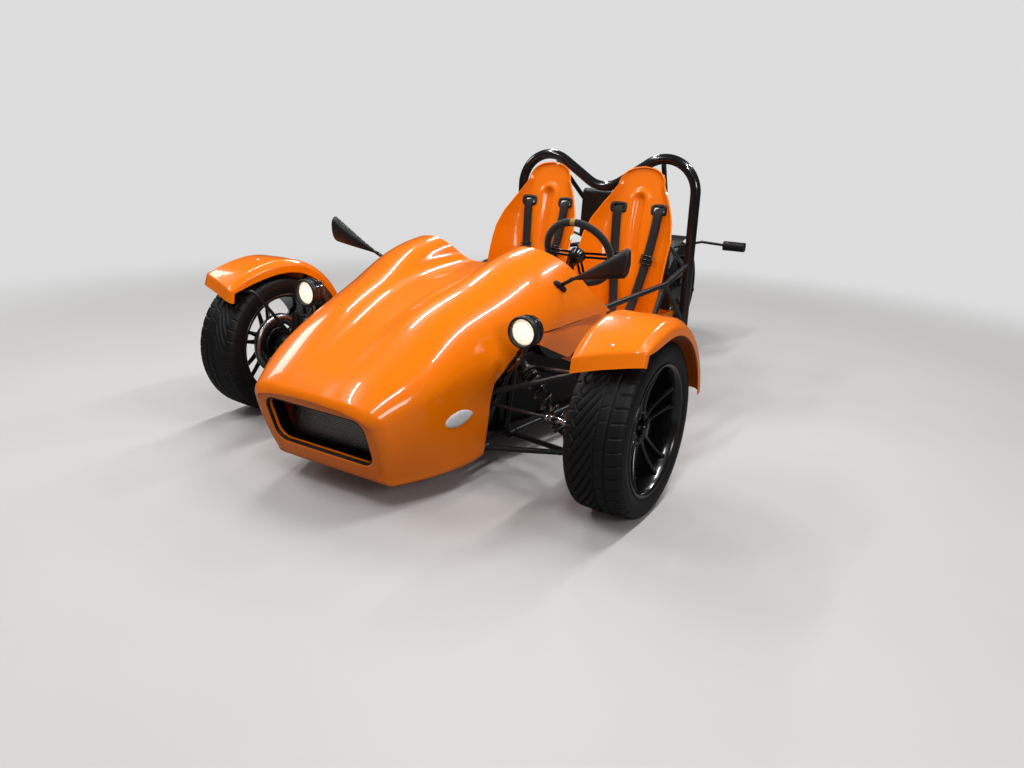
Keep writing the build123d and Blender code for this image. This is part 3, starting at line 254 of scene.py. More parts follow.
def cowl_surface(y, c):
    """The cowl's outer skin at stations y and section values c. The bumps of COWL_BUMPS
    are bell curves in station and height, and low on the flank the skin is tucked in by
    up to TUCK, on smoothstep curves of height and station."""
    x, z = cowl_point(y, c)
    for mid_y, mid_z, long, tall, out in COWL_BUMPS:
        bell = np.exp(-(((y - mid_y) / long) ** 2) - ((z - mid_z) / tall) ** 2)
        x = x + out * bell * ramp(c, 1.2, 1.6)
    drop = ramp(z, 440, 290)
    ahead = ramp(y, -460, -120)
    x = x - TUCK * drop ** 2 * (3 - 2 * drop) * ahead ** 2 * (3 - 2 * ahead) * np.clip(x / 200, 0, 1)
    return x, z


def split_value(y, height):
    """The section value c at which the flank crosses a height."""
    _, _, _, _, wide_z, _, foot_z, turn, _, second = cowl_values(y)
    on_flank = 2 + (wide_z - height) / (wide_z - foot_z - FOOT_RADIUS)
    angle = np.arccos(np.clip((height - wide_z) / second, -1, 1))
    on_shoulder = 1.5 + 0.5 * (angle - turn) / (pi / 2 - turn)
    return np.where(height <= wide_z, on_flank, on_shoulder)


def face_station(z):
    """Station of the flat face of the nose at a height."""
    return FACE_Y + (FACE_Z - z) * FACE_SLOPE


def lower_height(y):
    """Height of the moulding's lower edge; before the wheels it is a line on the flank."""
    behind = np.interp(y, LOWER_EDGE[:, 0], LOWER_EDGE[:, 1])
    return np.where(y < CUT_Y, CUT_Z + (y - CUT_Y) * 0.33, behind)


def nose_grid(rows, columns, low):
    """The nose between its rounded front edge and the wheels, above (low False) or below
    the line of lower_height. Rows go back from the face: the edge is a quarter circle of
    radius r, inset = r - sqrt(r^2 - (r - d)^2) at distance d behind the face."""
    n = EDGE_ROWS
    w = np.linspace(0, 1, columns)[None, :]
    edge = np.sin(np.linspace(0, pi / 2, n))[:, None]
    back = (np.linspace(0, 1, rows)[1:] ** 1.15)[:, None]
    y = np.full((n + rows - 1, columns), -400.0)
    # a point's station and height depend on each other, and the rounds settle both
    for _ in range(14):
        split = split_value(y, lower_height(y))
        c = split + (4 - split) * w if low else split * w
        x, z = cowl_surface(y, c)
        r = 15 + 13 * np.clip(c - 1, 0, 1) - 4 * np.clip(c - 3, 0, 1)
        depth = r[:n] * (1 - np.sqrt(1 - edge ** 2))
        start = face_station(z)
        end = np.where(z > CUT_Z, CUT_Y, CUT_Y - 16 + 16 * z / CUT_Z) if low else np.full_like(z, CUT_Y)
        y = np.concatenate([start[:n] + depth, start[n:] + r[n:] + back * (end[n:] - start[n:] - r[n:])])
    ahead_x, ahead_z = cowl_point(y, np.minimum(c + 0.01, 4))
    behind_x, behind_z = cowl_point(y, np.maximum(c - 0.01, 0))
    length = np.hypot(ahead_x - behind_x, ahead_z - behind_z)
    inset = np.zeros_like(x)
    inset[:n] = r[:n] * (1 - edge)
    x = np.maximum(x + inset * (ahead_z - behind_z) / length, 0)
    z = z - inset * (ahead_x - behind_x) / length
    x[:, -1 if low else 0] = 0
    return np.stack([x, y, z], -1)


def shell_grid(rows, columns):
    """The moulding behind the front axle, from the middle out to its lower edge and back
    to the cockpit's edge, which drops from the humps to the sills."""
    w = np.linspace(0, 1, columns)[None, :]
    v = np.linspace(0, 1, rows)[:, None]
    y = np.full((rows, columns), 0.0)
    for _ in range(20):
        c = split_value(y, lower_height(y)) * w
        x, z = cowl_surface(y, c)
        end = np.interp(-z, -COCKPIT_EDGE[:, 1], COCKPIT_EDGE[:, 0])
        y = CUT_Y + v * (end - CUT_Y)
    x[:, 0] = 0
    return np.stack([x, y, z], -1)


def run_length(points):
    """Distance along a line of points from its first one."""
    return np.concatenate([[0], np.cumsum(np.linalg.norm(np.diff(points, axis=0), axis=1))])


def mouth_line(share, grow=0.0):
    """Half of the mouth's rounded outline, grown by grow: share 0-1 runs from the middle
    of its top round to the middle of its foot. Gives x and z."""
    corner = MOUTH_CORNER + grow
    half, low, high = MOUTH_HALF + grow, MOUTH_LOW - grow, MOUTH_HIGH + grow
    a = np.linspace(0, pi / 2, 16)
    s, c = corner * (1 - np.sin(a)), corner * (1 - np.cos(a))
    x = np.concatenate([[0], half - s, half - c, [0]])
    z = np.concatenate([[high], high - c, low + s, [low]])
    length = run_length(np.stack([x, z], -1))
    return np.interp(share * length[-1], length, x), np.interp(share * length[-1], length, z)


def face_grid(ring):
    """The face between the rounded edge's first ring and the mouth, then round the
    mouth's edge (a quarter circle) and 18 mm into it."""
    share = run_length(ring[:, ::2])
    share = share / share[-1]
    roll = 8.0
    out_x, out_z = mouth_line(share, roll)
    t = np.linspace(0, 1, 7)[:, None]
    x, z = ring[:, 0] + (out_x - ring[:, 0]) * t, ring[:, 2] + (out_z - ring[:, 2]) * t
    y = face_station(z)
    edge = [(roll * (1 - sin(b)), roll * (1 - cos(b))) for b in np.linspace(0, pi / 2, 6)[1:]]
    lips = []
    for grow, depth in [*edge, (-2, 18)]:
        lip_x, lip_z = mouth_line(share, grow)
        lips.append(np.stack([lip_x, face_station(lip_z) + depth, lip_z], -1))
    grid = np.concatenate([np.stack([x, y, z], -1), np.stack(lips)])
    grid[:, [0, -1], 0] = 0
    return grid


def quads_of(grid, flip=False, wrap=False):
    """Vertex numbers of the quads of a grid of rows and columns."""
    n, m = grid.shape[:2]
    at = np.arange(n * m).reshape(n, m)
    if wrap:
        at = np.concatenate([at, at[:, :1]], 1)
    quads = np.stack([at[:-1, :-1], at[:-1, 1:], at[1:, 1:], at[1:, :-1]], -1).reshape(-1, 4)
    return quads[:, ::-1] if flip else quads


def weld(parts):
    """Joins (grid, quads) pairs in one list of points and faces: points closer than a
    hundredth of a millimetre become one, and a quad with a side gone is a triangle."""
    points = np.concatenate([grid.reshape(-1, 3) for grid, _ in parts])
    starts = np.cumsum([0] + [grid.size // 3 for grid, _ in parts])
    faces = np.concatenate([quads + start for (_, quads), start in zip(parts, starts)])
    keys = np.round(points * 1e5).astype(np.int64)
    _, first, number = np.unique(keys, axis=0, return_index=True, return_inverse=True)
    faces = number.reshape(-1)[faces]
    same = faces == np.roll(faces, -1, 1)
    thin = same.sum(1) == 1
    tris = faces[thin][~same[thin]].reshape(-1, 3)
    return points[first], faces[~same.any(1)].tolist() + tris.tolist()


def piece(name, parts, material, body="chassis", thick=0.0, bevel=0.0, replaces=None):
    """A new piece that rides a body, from (grid, quads) pairs in metres. Where thick is
    given the piece is a skin: thick adds a wall inwards and bevel rounds its rim. Other
    pieces are closed forms, whose faces are all turned outwards."""
    points, faces = weld(parts)
    mesh = bpy.data.meshes.new(name)
    mesh.from_pydata(points.tolist(), [], faces)
    if not thick:
        work = bmesh.new()
        work.from_mesh(mesh)
        bmesh.ops.recalc_face_normals(work, faces=work.faces)
        work.to_mesh(mesh)
        work.free()
    mesh.polygons.foreach_set("use_smooth", np.ones(len(mesh.polygons), bool))
    obj = bpy.data.objects.new(name, mesh)
    bpy.context.scene.collection.objects.link(obj)
    obj.data.materials.append(material)
    if thick:
        wall = obj.modifiers.new("wall", "SOLIDIFY")
        wall.thickness, wall.offset = thick, -1
    if bevel:
        edge = obj.modifiers.new("edge", "BEVEL")
        edge.width, edge.segments = bevel, 2
        edge.limit_method, edge.angle_limit = "ANGLE", radians(38)
        edge.harden_normals = True
    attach(obj, body)
    if replaces:
        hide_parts(replaces)
    return obj


def to_metres(grid):
    """Station and millimetres to the shared frame."""
    return grid / 1000 + (0, AXLE_Y, 0)


def both_sides(grid, flip=False):
    """A half grid and its mirror image as (grid, quads) pairs."""
    return [(grid, quads_of(grid, flip)), (grid * (-1, 1, 1), quads_of(grid, not flip))]


nose_top = nose_grid(46, 70, False)
nose_low = nose_grid(46, 44, True)
shell = shell_grid(60, 70)
face = face_grid(np.concatenate([nose_top[0], nose_low[0, 1:]]))
cowl_parts = []
for grid, flip in ((nose_top, True), (nose_low, True), (shell, True), (face, False)):
    cowl_parts += both_sides(to_metres(grid), flip)
piece("cowl", cowl_parts, gelcoat, thick=COWL_SKIN, bevel=0.0014, replaces="nose_cowl")

# Mouth: a black rubber edging is pushed over the moulding's edge. Behind it stand a dull
# black duct and a panel of woven black wire that keeps stones off the radiator.


def unit(vectors):
    """Vectors along the last axis, made 1 long."""
    return vectors / np.linalg.norm(vectors, axis=-1, keepdims=True)


def sweep(path, profile, up, closed=False):
    """A profile carried along a path. Each profile point (a, b) stands at the path's point
    plus a times the side direction (path direction cross up) plus b times the direction
    square to both. A closed path ends where it starts."""
    path = np.asarray(path, float)
    ahead = np.roll(path, -1, 0) - np.roll(path, 1, 0) if closed else np.gradient(path, axis=0)
    ahead = unit(ahead)
    side = unit(np.cross(ahead, up))
    top = np.cross(side, ahead)
    profile = np.asarray(profile, float)
    grid = path[:, None] + profile[None, :, :1] * side[:, None] + profile[None, :, 1:] * top[:, None]
    return np.concatenate([grid, grid[:1]]) if closed else grid


def capped(grid):
    """The (grid, quads) pair of a swept grid with its ends closed to their middle points."""
    first = np.repeat(grid[:1].mean(1, keepdims=True), grid.shape[1], 1)
    last = np.repeat(grid[-1:].mean(1, keepdims=True), grid.shape[1], 1)
    grid = np.concatenate([first, grid, last])
    return grid, quads_of(grid, wrap=True)


def hoop(path, profile, up):
    """The (grid, quads) pair of a profile swept round a closed path."""
    grid = sweep(path, profile, up, closed=True)
    return grid, quads_of(grid, wrap=True)


def ring_profile(radius, count=10, flat=1.0):
    """A circle, or an oval where flat isn't 1."""
    a = np.arange(count) * 2 * pi / count
    return np.stack([radius * np.cos(a), radius * flat * np.sin(a)], -1)


def rod(start, end, radius, count=12):
    """A closed round bar between two points."""
    ends = np.array([start, end], float)
    run = ends[1] - ends[0]
    up = (0, 0, 1) if abs(run[2]) < 0.8 * np.linalg.norm(run) else (0, 1, 0)
    return capped(sweep(ends, ring_profile(radius, count), up))


share = np.linspace(0, 1, 60)
half_x, half_z = mouth_line(share, -1.0)
edge_x = np.concatenate([half_x, -half_x[-2:0:-1]])
edge_z = np.concatenate([half_z, half_z[-2:0:-1]])
edging = to_metres(np.stack([edge_x, face_station(edge_z) + 3, edge_z], -1))
piece("mouth_edging", [hoop(edging, ring_profile(0.0042, 10, 1.5), (0, -0.95, -0.313))], plastic)

depth = np.array([2.0, 14.0, 26.0, 38.0, 52.0, 66.0])[:, None]
duct_x, duct_z = mouth_line(share, -3.5)
duct = np.stack([duct_x + 0 * depth, face_station(duct_z) + depth, duct_z + 0 * depth], -1)
dull_black = coating("dull_black", "mesh", (0.004, 0.004, 0.0045), 0.6, grain=0.3, specular=0.15)
piece("mouth_liner", both_sides(to_metres(duct)), dull_black, thick=0.0015)

WIRE_PITCH = 0.0075
WIRE = 0.0007
mesh_low, mesh_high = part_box("grille_mesh")
mesh_tall = mesh_high.z - mesh_low.z
mesh_x = np.arange(mesh_low.x + 0.004, mesh_high.x - 0.002, WIRE_PITCH)
mesh_v = np.arange(0.004, 1000 * mesh_tall - 2, 1000 * WIRE_PITCH) / 1000
slope = (mesh_high.y - mesh_low.y - 0.003) / mesh_tall


def wire(x, v, over):
    """A wire of the woven panel through points x and v, lifted by over from its plane."""
    y = mesh_high.y - 0.0015 - slope * v + over
    path = np.stack(np.broadcast_arrays(x, y, mesh_low.z + v), -1)
    return capped(sweep(path, ring_profile(WIRE, 4), (0.1, -0.9, 0.2)))


wires = []
for column, x in enumerate(mesh_x):
    v = np.linspace(0, mesh_tall, 2 * len(mesh_v) + 1)
    wires.append(wire(x, v, WIRE * np.cos(pi * (np.arange(len(v)) / 2 + column))))
for row, v in enumerate(mesh_v):
    x = np.linspace(mesh_low.x, mesh_high.x, 2 * len(mesh_x) + 1)
    wires.append(wire(x, v, -WIRE * np.cos(pi * (np.arange(len(x)) / 2 + row))))
piece("mouth_mesh", wires, dull_black, replaces="grille_mesh")

# Turn lamps: a leaf shaped pale lens with a black gasket on each flank of the nose, bonded
# on and pointing forwards.
LENS_PLACE = (-270, 288)
LENS_HALF = (74, 30)
LENS_RISE = 10


def flank_x(y, z):
    """Half width of the cowl at stations y and heights z below its widest point."""
    return cowl_surface(y, split_value(y, z))[0]


radius = np.linspace(0, 1, 14)[:, None]
angle = np.linspace(0, 2 * pi, 61)[None, :]
lens_a = radius * np.cos(angle)
taper = 1 - 0.42 * np.clip(lens_a, 0, 1) ** 1.5
lens_y = LENS_PLACE[0] + LENS_HALF[0] * lens_a
lens_z = LENS_PLACE[1] + LENS_HALF[1] * radius * np.sin(angle) * taper
dome = LENS_RISE * np.sqrt(np.clip(1 - radius ** 4, 0, 1)) + 0 * angle
lens = to_metres(np.stack([flank_x(lens_y, lens_z) + dome - 2, lens_y, lens_z], -1))
clear_lens = coating("clear_lens", "lens", (0.78, 0.78, 0.82), 0.15, speckle=0.35, patch=110,
                     grain=1.0, grain_size=240, coat=1.0)
piece("turn_lenses", both_sides(lens), clear_lens, thick=0.002, replaces="turn_lamps")
gasket, quads = hoop(lens[-1, :-1] + (0.0025, 0, 0), ring_profile(0.0034, 8), (1, 0, 0))
piece("turn_gaskets", [(gasket * (side, 1, 1), quads) for side in (1, -1)], plastic)

# Screws: small domed screws hold the cowl along its lower and rear edges.


def lathe(profile, centre, axis, steps=24):
    """A profile of (distance along the axis, radius) pairs in millimetres, turned once
    about the axis: centre + a * axis + r * (cos q * u + sin q * v), with u and v square to
    the axis."""
    axis = unit(np.asarray(axis, float))
    spare = (0.0, 0.0, 1.0) if abs(axis[2]) < 0.9 else (1.0, 0.0, 0.0)
    u = unit(np.cross(axis, spare))
    v = np.cross(axis, u)
    q = np.linspace(0, 2 * pi, steps + 1)[None, :, None]
    profile = np.asarray(profile, float) / 1000
    a, r = profile[:, 0][:, None, None], profile[:, 1][:, None, None]
    grid = np.asarray(centre, float) + a * axis + r * (np.cos(q) * u + np.sin(q) * v)
    grid[:, -1] = grid[:, 0]
    return grid, quads_of(grid)


def disc(low, high, radius):
    """The profile of a flat round disc between two distances along its axis."""
    return (low, 0), (low, radius), (high, radius), (high, 0)


def band(low, high, inner, outer):
    """The profile of a ring with an oblong section."""
    return (low, inner), (low, outer), (high, outer), (high, inner), (low, inner)


SCREW_HEAD = ((-2, 0), (-2, 5.5), (0.8, 5.5), (2.4, 3.8), (2.8, 1.8), (1.6, 1.6), (1.6, 0))
screws = []
for y, z in ((-190, 176), (-152, 116), (-158, 330), (60, 536), (300, 548), (520, 548)):
    x = flank_x(np.float64(y), np.float64(z))
    for side in (1, -1):
        place = to_metres(np.array([side * (x + 0.5), y, z]))
        screws.append(lathe(SCREW_HEAD, place, (side, 0, 0)))
piece("cowl_screws", screws, alloy)

# Tyres: low profile road tyres with a directional tread. Two straight grooves run round
# outboard of the middle, swept grooves lead from them to a zigzag near the inner
# shoulder, and short grooves cross the outer shoulder.
TREAD_PITCHES = 42
TREAD_DEPTH = 6.5
# how far the tread runs down the shoulder
TREAD_REACH = 26
PITCH = 44.0
TYRE_STEPS = 696


def groove(distance, width, depth, wall=1.6):
    """Depth of a groove at a distance from its line, with sloping walls."""
    return depth * np.clip((width / 2 - np.abs(distance)) / wall + 0.5, 0, 1)


def tread(across, turn):
    """How deep the tread is cut at a distance across from the middle (outboard is
    positive, in millimetres) and at turn, the share of one pitch round the tyre. The
    deepest groove counts: two straight ones, the zigzag, the swept ones, thin ones
    across the rib, and short ones across the outer and the inner shoulder."""
    def from_lines(sweep_back):
        """Distance round the tyre from the nearest line, which is swept back."""
        return ((turn + sweep_back / PITCH) % 1 - 0.5) * PITCH

    inboard = across + 70
    zigzag = 24 * np.abs(turn % 1 - 0.5) - 68
    swept = from_lines(1.5 * inboard + 0.004 * inboard ** 2) * 0.52
    thin, short = from_lines(0.5 * across), from_lines(0.22 * across)
    grooves = (
        groove(across - 8, 8, TREAD_DEPTH),
        groove(across - 40, 8, TREAD_DEPTH),
        groove(across - zigzag, 4.5, TREAD_DEPTH),
        groove(swept, 6.0, TREAD_DEPTH) * ramp(across, -62, -56) * ramp(across, 6, 2),
        groove(thin, 2.6, TREAD_DEPTH * 0.5) * ramp(across, 12, 15) * ramp(across, 36, 33),
        groove(short, 4.2, TREAD_DEPTH * 0.8) * ramp(across, 50, 54) * ramp(across, 99, 93),
        groove(short, 4.2, TREAD_DEPTH * 0.7) * ramp(across, -72, -76) * ramp(across, -99, -93),
    )
    return np.max(np.broadcast_arrays(*grooves), 0)


def tyre_form(half, crown_radius, crown_drop, shoulder, rim_radius, bead_half):
    """A tyre's rounded section, less the tread, as arrays of distance across and radius:
    a crown that drops as the square of the distance from the middle, a quarter oval
    shoulder, a bulged wall and the bead's inside."""
    flat = half - shoulder
    s = np.linspace(-flat, flat, 66)
    crown = crown_radius - crown_drop * (s / flat) ** 2
    a = np.linspace(0, pi / 2, 9)[1:]
    round_s = flat + (shoulder - 2) * np.sin(a)
    round_r = crown[-1] - (shoulder + 2) * (1 - np.cos(a))
    t = np.linspace(0, 1, 9)[1:]
    wall_r = round_r[-1] + (rim_radius - round_r[-1]) * t
    wall_s = half - 2 + 2 * np.sin(pi * np.minimum(t * 1.3, 1)) - (half - 2 - bead_half) * t ** 2.6
    right_s, right_r = np.concatenate([round_s, wall_s]), np.concatenate([round_r, wall_r])
    inside_s, inside_r = [bead_half - 5, 0, 5 - bead_half], [rim_radius - 5] * 3
    across = np.concatenate([s, right_s, inside_s, -right_s[::-1]])
    return across, np.concatenate([crown, right_r, inside_r, right_r[::-1]])


def tyre(name, body, stands_for, centre, side, form):
    """A tyre about an axle along X; side 1 or -1 turns the tread's pattern outboard."""
    half, crown_radius = form[:2]
    across, section = tyre_form(*form)
    turn = np.linspace(0, 1, TYRE_STEPS, endpoint=False)
    on_tread = section[:, None] > crown_radius - TREAD_REACH
    cut = tread(across[:, None] * 100 / half, turn[None, :] * TREAD_PITCHES) * on_tread
    r = (section[:, None] - cut) / 1000
    angle = 2 * pi * turn[None, :]
    x = centre[0] + side * across[:, None] / 1000 + 0 * angle
    grid = np.stack([x, centre[1] - r * np.sin(angle), centre[2] + r * np.cos(angle)], -1)
    grid = np.concatenate([grid, grid[:1]])
    piece(name, [(grid, quads_of(grid, wrap=True))], rubber, body, replaces=stands_for)


FRONT_WHEEL = np.array([0.853, AXLE_Y, 0.298])
REAR_WHEEL = np.array([0.0, AXLE_Y + 2.6, 0.311])
SIDES = (("left", 1), ("right", -1))
rubber = coating("tyre_rubber", "tyre", (0.006, 0.006, 0.0065), 0.5, grain=0.25, grain_size=700, specular=0.3)
for name, side in SIDES:
    hub = FRONT_WHEEL * (side, 1, 1)
    tyre(f"front_tyre_{name}", f"{name}_wheel", f"tyre_{name}", hub, side, (102.5, 298, 2.5, 24, 224, 94))
tyre("back_tyre", "back_wheel", "rear_tyre", REAR_WHEEL, 1, (95, 311, 22, 20, 224, 71))

# Front rims: cast light alloy in gloss black. Five pairs of thin spokes part on their way
# from a round hub out to the deep barrel.
BARREL = (
    (90, 216.5), (90.5, 222.5), (93.5, 224), (97, 222.5), (98, 218), (95, 213), (88, 208.5),
    (62, 203.5), (0, 203), (-78, 206.5), (-94, 209), (-98, 215), (-97.5, 222.5), (-94, 224),
    (-90.5, 222.5), (-90, 216.5), (-70, 214), (70, 214), (90, 216.5),
)
HUB = ((-58, 66), (-58, 74), (18, 74), (30, 68), (40, 60), (43, 56), (43, 19), (-50, 19), (-58, 66))
SPOKE_PAIRS = 5


def spokes(centre, side):
    """Twin spokes: oval bars whose distance from the axle runs from the hub to the barrel,
    whose place along it rises as a parabola and whose gap to their twin widens."""
    t = np.linspace(0, 1, 28)
    r = 0.052 + 0.155 * t
    along_axle = 0.028 + 0.017 * t + 0.022 * t ** 2
    gap = 0.0155 + 0.021 * t ** 1.2
    slim = 0.72 + 0.28 * (2 * t - 1) ** 4 + 0.25 * (1 - t) ** 3
    bars = []
    for index in range(SPOKE_PAIRS):
        for twin in (1, -1):
            q = pi / 2 + 2 * pi * index / SPOKE_PAIRS + twin * np.arcsin(gap / r)
            path = centre + np.stack([side * along_axle, r * np.cos(q), r * np.sin(q)], -1)
            grid = sweep(path, ring_profile(0.0102, 16, 1.35), (side, 0, 0))
            bars.append(capped(path[:, None] + (grid - path[:, None]) * slim[:, None, None]))
    return bars


for name, side in SIDES:
    hub = FRONT_WHEEL * (side, 1, 1)
    parts = [lathe(BARREL, hub, (side, 0, 0), 144), lathe(HUB, hub, (side, 0, 0), 72), *spokes(hub, side)]
    piece(f"front_rim_{name}", parts, wheel_black, f"{name}_wheel", replaces=f"rim_{name}")

# Brake discs and wheel bolts: a ground iron disc inside each front wheel, and five
# bolts and a round cap on each hub.
iron = coating("ground_iron", "alloy", (0.32, 0.31, 0.3), 0.28, metallic=1.0, patch=60)
DISC = band(-67.2, -48.8, 88, 132.5)
WHEEL_BOLT = ((-4, 0), (-4, 8), (6, 8), (8, 6.5), (8, 0))
HUB_CAP = ((40, 0), (40, 29), (58, 29), (63, 24), (64, 0))
for name, side in SIDES:
    hub = FRONT_WHEEL * (side, 1, 1)
    out = (side, 0, 0)
    piece(f"brake_disc_{name}", [lathe(DISC, hub, out, 96)], iron, f"{name}_wheel")
    bolts = []
    for index in range(5):
        q = 2 * pi * index / 5 + 0.3
        bolts.append(lathe(WHEEL_BOLT, hub + (side * 0.044, 0.042 * cos(q), 0.042 * sin(q)), out, 6))
    piece(f"wheel_bolts_{name}", bolts, dark_alloy, f"{name}_wheel")
    piece(f"hub_cap_{name}", [lathe(HUB_CAP, hub, out, 48)], gloss_black, f"{name}_wheel")

# Wings: narrow glass fibre covers over the front tyres with bevelled shoulders and a
# turned down front lip. Each is held on two stays by a bolt through a rubber washer.
# metres from the axle and across, but the front end in degrees about the axle
WING_RADIUS = 0.365
WING_HALF = 0.115
WING_BEVEL = 0.026
WING_SKIRT = 0.028
WING_FRONT = 130.4
WING_POINTS = 190
LIP = 0.043
LIP_BEND = radians(43)
LIP_RADIUS = 0.012
LIP_SLANT = 0.09
CORNER = 0.008


def wing_path():
    """Side view of the wing's top about the axle, from back to front, as a function of
    length: an arc whose radius grows a little in front, a small bend and the straight
    lip. Also gives how far each point lies in the front part, squared."""
    q = np.radians(np.linspace(9, WING_FRONT - 1.5, 120))
    r = WING_RADIUS + 0.016 * np.clip((np.degrees(q) - 100) / (WING_FRONT - 100), 0, 1) ** 1.5
    top = np.stack([r * np.cos(q), r * np.sin(q)], -1)
    ahead = unit(top[-1] - top[-2])
    inward = np.array([ahead[1], -ahead[0]])
    inward = -inward * np.sign(inward @ top[-1])
    bend = np.linspace(0, LIP_BEND, 9)[1:, None]
    curl = top[-1] + LIP_RADIUS * (ahead * np.sin(bend) + inward * (1 - np.cos(bend)))
    down = ahead * cos(LIP_BEND) + inward * sin(LIP_BEND)
    drop = curl[-1] + down * LIP * np.linspace(0, 1, 6)[1:, None]
    points = np.concatenate([top, curl, drop])
    length = run_length(points)
    s = np.linspace(0, length[-1], WING_POINTS)
    front = np.clip((s - length[70]) / (length[119] - length[70]), 0, 1)
    return np.stack([np.interp(s, length, points[:, 0]), np.interp(s, length, points[:, 1])], -1), front ** 2


def wing_profile():
    """Half across the wing: its crown, a small bend, the bevel, a bend and the skirt, as
    (outwards, inwards from the skin) pairs. The bends are parabolas."""
    corners = np.array([
        (0, -0.002), (WING_HALF - WING_BEVEL, 0), (WING_HALF, WING_BEVEL * 0.8),
        (WING_HALF + 0.002, WING_BEVEL * 0.8 + WING_SKIRT),
    ])
    t = np.linspace(0, 1, 6)[:, None]
    points = [corners[:1]]
    for before, corner, after in zip(corners, corners[1:], corners[2:]):
        start = corner + unit(before - corner) * CORNER
        end = corner + unit(after - corner) * CORNER
        points.append(start * (1 - t) ** 2 + corner * 2 * t * (1 - t) + end * t ** 2)
    return np.concatenate([*points, corners[-1:]])


path, front = wing_path()
ahead = unit(np.gradient(path, axis=0))
skin_normal = np.stack([ahead[:, 1], -ahead[:, 0]], -1)
profile = wing_profile()
section = np.concatenate([profile[:0:-1] * (-1, 1), profile])
front = front[:, None]
depth = section[None, :, 1:] * (1 - 0.62 * front[..., None] ** 2)
place = path[:, None, :] - depth * skin_normal[:, None, :]
slant = -LIP_SLANT * front * section[None, :, 0] / WING_HALF
inset = 0.02 * front * np.clip(-section[None, :, 0] / WING_HALF, 0, 1)
wing = FRONT_WHEEL + np.stack([
    section[None, :, 0] + inset,
    place[..., 0] * np.cos(slant) - place[..., 1] * np.sin(slant),
    place[..., 0] * np.sin(slant) + place[..., 1] * np.cos(slant),
], -1)
WASHER = ((-1, 0), (-1, 11), (2, 11), (3, 9), (3, 0))
BOLT_HEAD = ((2, 0), (2, 6.5), (5, 6.5), (7, 4), (7.5, 0))
before_lip = path[:176]
for name, side in SIDES:
    piece(
        f"front_wing_{name}", [(wing * (side, 1, 1), quads_of(wing, side < 0))], gelcoat,
        f"{name}_upright", thick=0.004, bevel=0.001, replaces=f"wing_{name}",
    )
    washers, heads = [], []
    for angle, x in ((98.7, 0.84), (124.0, 0.862)):
        q = radians(angle)
        y, z = before_lip[np.argmin(np.abs(np.arctan2(before_lip[:, 1], before_lip[:, 0]) - q))]
        spot = (side * x, FRONT_WHEEL[1] + y, FRONT_WHEEL[2] + z)
        washers.append(lathe(WASHER, spot, (0, cos(q), sin(q))))
        heads.append(lathe(BOLT_HEAD, spot, (0, cos(q), sin(q))))
    piece(f"wing_washers_{name}", washers, plastic, f"{name}_upright")
    piece(f"wing_bolts_{name}", heads, alloy, f"{name}_upright")

# Seats: each is a glass fibre bucket, 6 mm thick, with swept up sides, a round pressed
# channel up the back and two slots edged in black for the shoulder straps.
SEAT_X = 0.257
# station, height, depth of the sides
SEAT_LINE = np.array([
    (790, 262, 40), (860, 252, 60), (1000, 240, 96), (1130, 232, 128), (1222, 262, 150), (1274, 370, 156),
    (1300, 540, 150), (1322, 660, 132), (1346, 790, 92), (1376, 930, 34), (1408, 1083, 9),
], float)
# height and half width of the back, then station and half width of the squab
BACK_WIDTH = np.array([
    (300, 208), (540, 226), (665, 227), (740, 226), (820, 206), (900, 170), (996, 118),
], float)
TIP_Z, TIP_HALF = BACK_WIDTH[-1]
BACK_TOP = 1083.0
SQUAB_WIDTH = np.array([(790, 150), (850, 182), (1000, 205), (1222, 208)], float)
CHANNEL_TOP, CHANNEL_HALF, CHANNEL_DEPTH, CHANNEL_RIM = 930, 27, 13, 7
# the slots' places, in metres
STRAP_X, STRAP_Z = 0.108, 0.890

seat_run = run_length(SEAT_LINE[:, :2])


def seat_point(length, u):
    """A point of the seat's face in station, height and distance across, in millimetres:
    length runs up its middle line and u across it from -1 to 1. The sides rise from the
    shell as the 1.7th power of the distance past their start, and the channel is a
    round ended trough with a raised rim."""
    y, z, deep = np.moveaxis(spline(seat_run, SEAT_LINE, length), -1, 0)
    y2, z2, _ = np.moveaxis(spline(seat_run, SEAT_LINE, length + 1.0), -1, 0)
    size = np.hypot(y2 - y, z2 - z)
    forward = np.stack([-(z2 - z) / size, (y2 - y) / size])
    on_back = np.interp(z, BACK_WIDTH[:, 0], BACK_WIDTH[:, 1])
    tip = ramp(z, TIP_Z, BACK_TOP)
    on_back = np.where(tip > 0, TIP_HALF * np.sqrt(1 - tip ** 2.4), on_back)
    on_squab = np.interp(y, SQUAB_WIDTH[:, 0], SQUAB_WIDTH[:, 1])
    half = np.where(length > seat_run[4], on_back, on_squab)
    start = 0.55 + 0.22 * ramp(z, 650, 900)
    swell = np.clip((np.abs(u) - start) / (1 - start), 0, 1)
    lift = deep * swell ** 1.7
    x = half * u
    trough = np.hypot(x, np.clip(z - CHANNEL_TOP, 0, None))
    fade = ramp(z, 560, 680)
    lift = lift - CHANNEL_DEPTH * fade * ramp(trough, CHANNEL_HALF, 12) ** 0.8
    lift = lift + CHANNEL_RIM * fade * np.exp(-(((trough - 40) / 12) ** 2))
    return y + forward[0] * lift, z + forward[1] * lift, x


def seat_grid(side, rows, columns):
    """The whole face of a seat as a grid in the shared frame."""
    length = seat_run[-1] * np.linspace(0, 1, rows)[:, None]
    u = np.sin(np.linspace(-1, 1, columns) * 1.15)[None, :] / sin(1.15)
    y, z, x = seat_point(length + 0 * u, u + 0 * length)
    return to_metres(np.stack([side * SEAT_X * 1000 + x, y, z], -1))


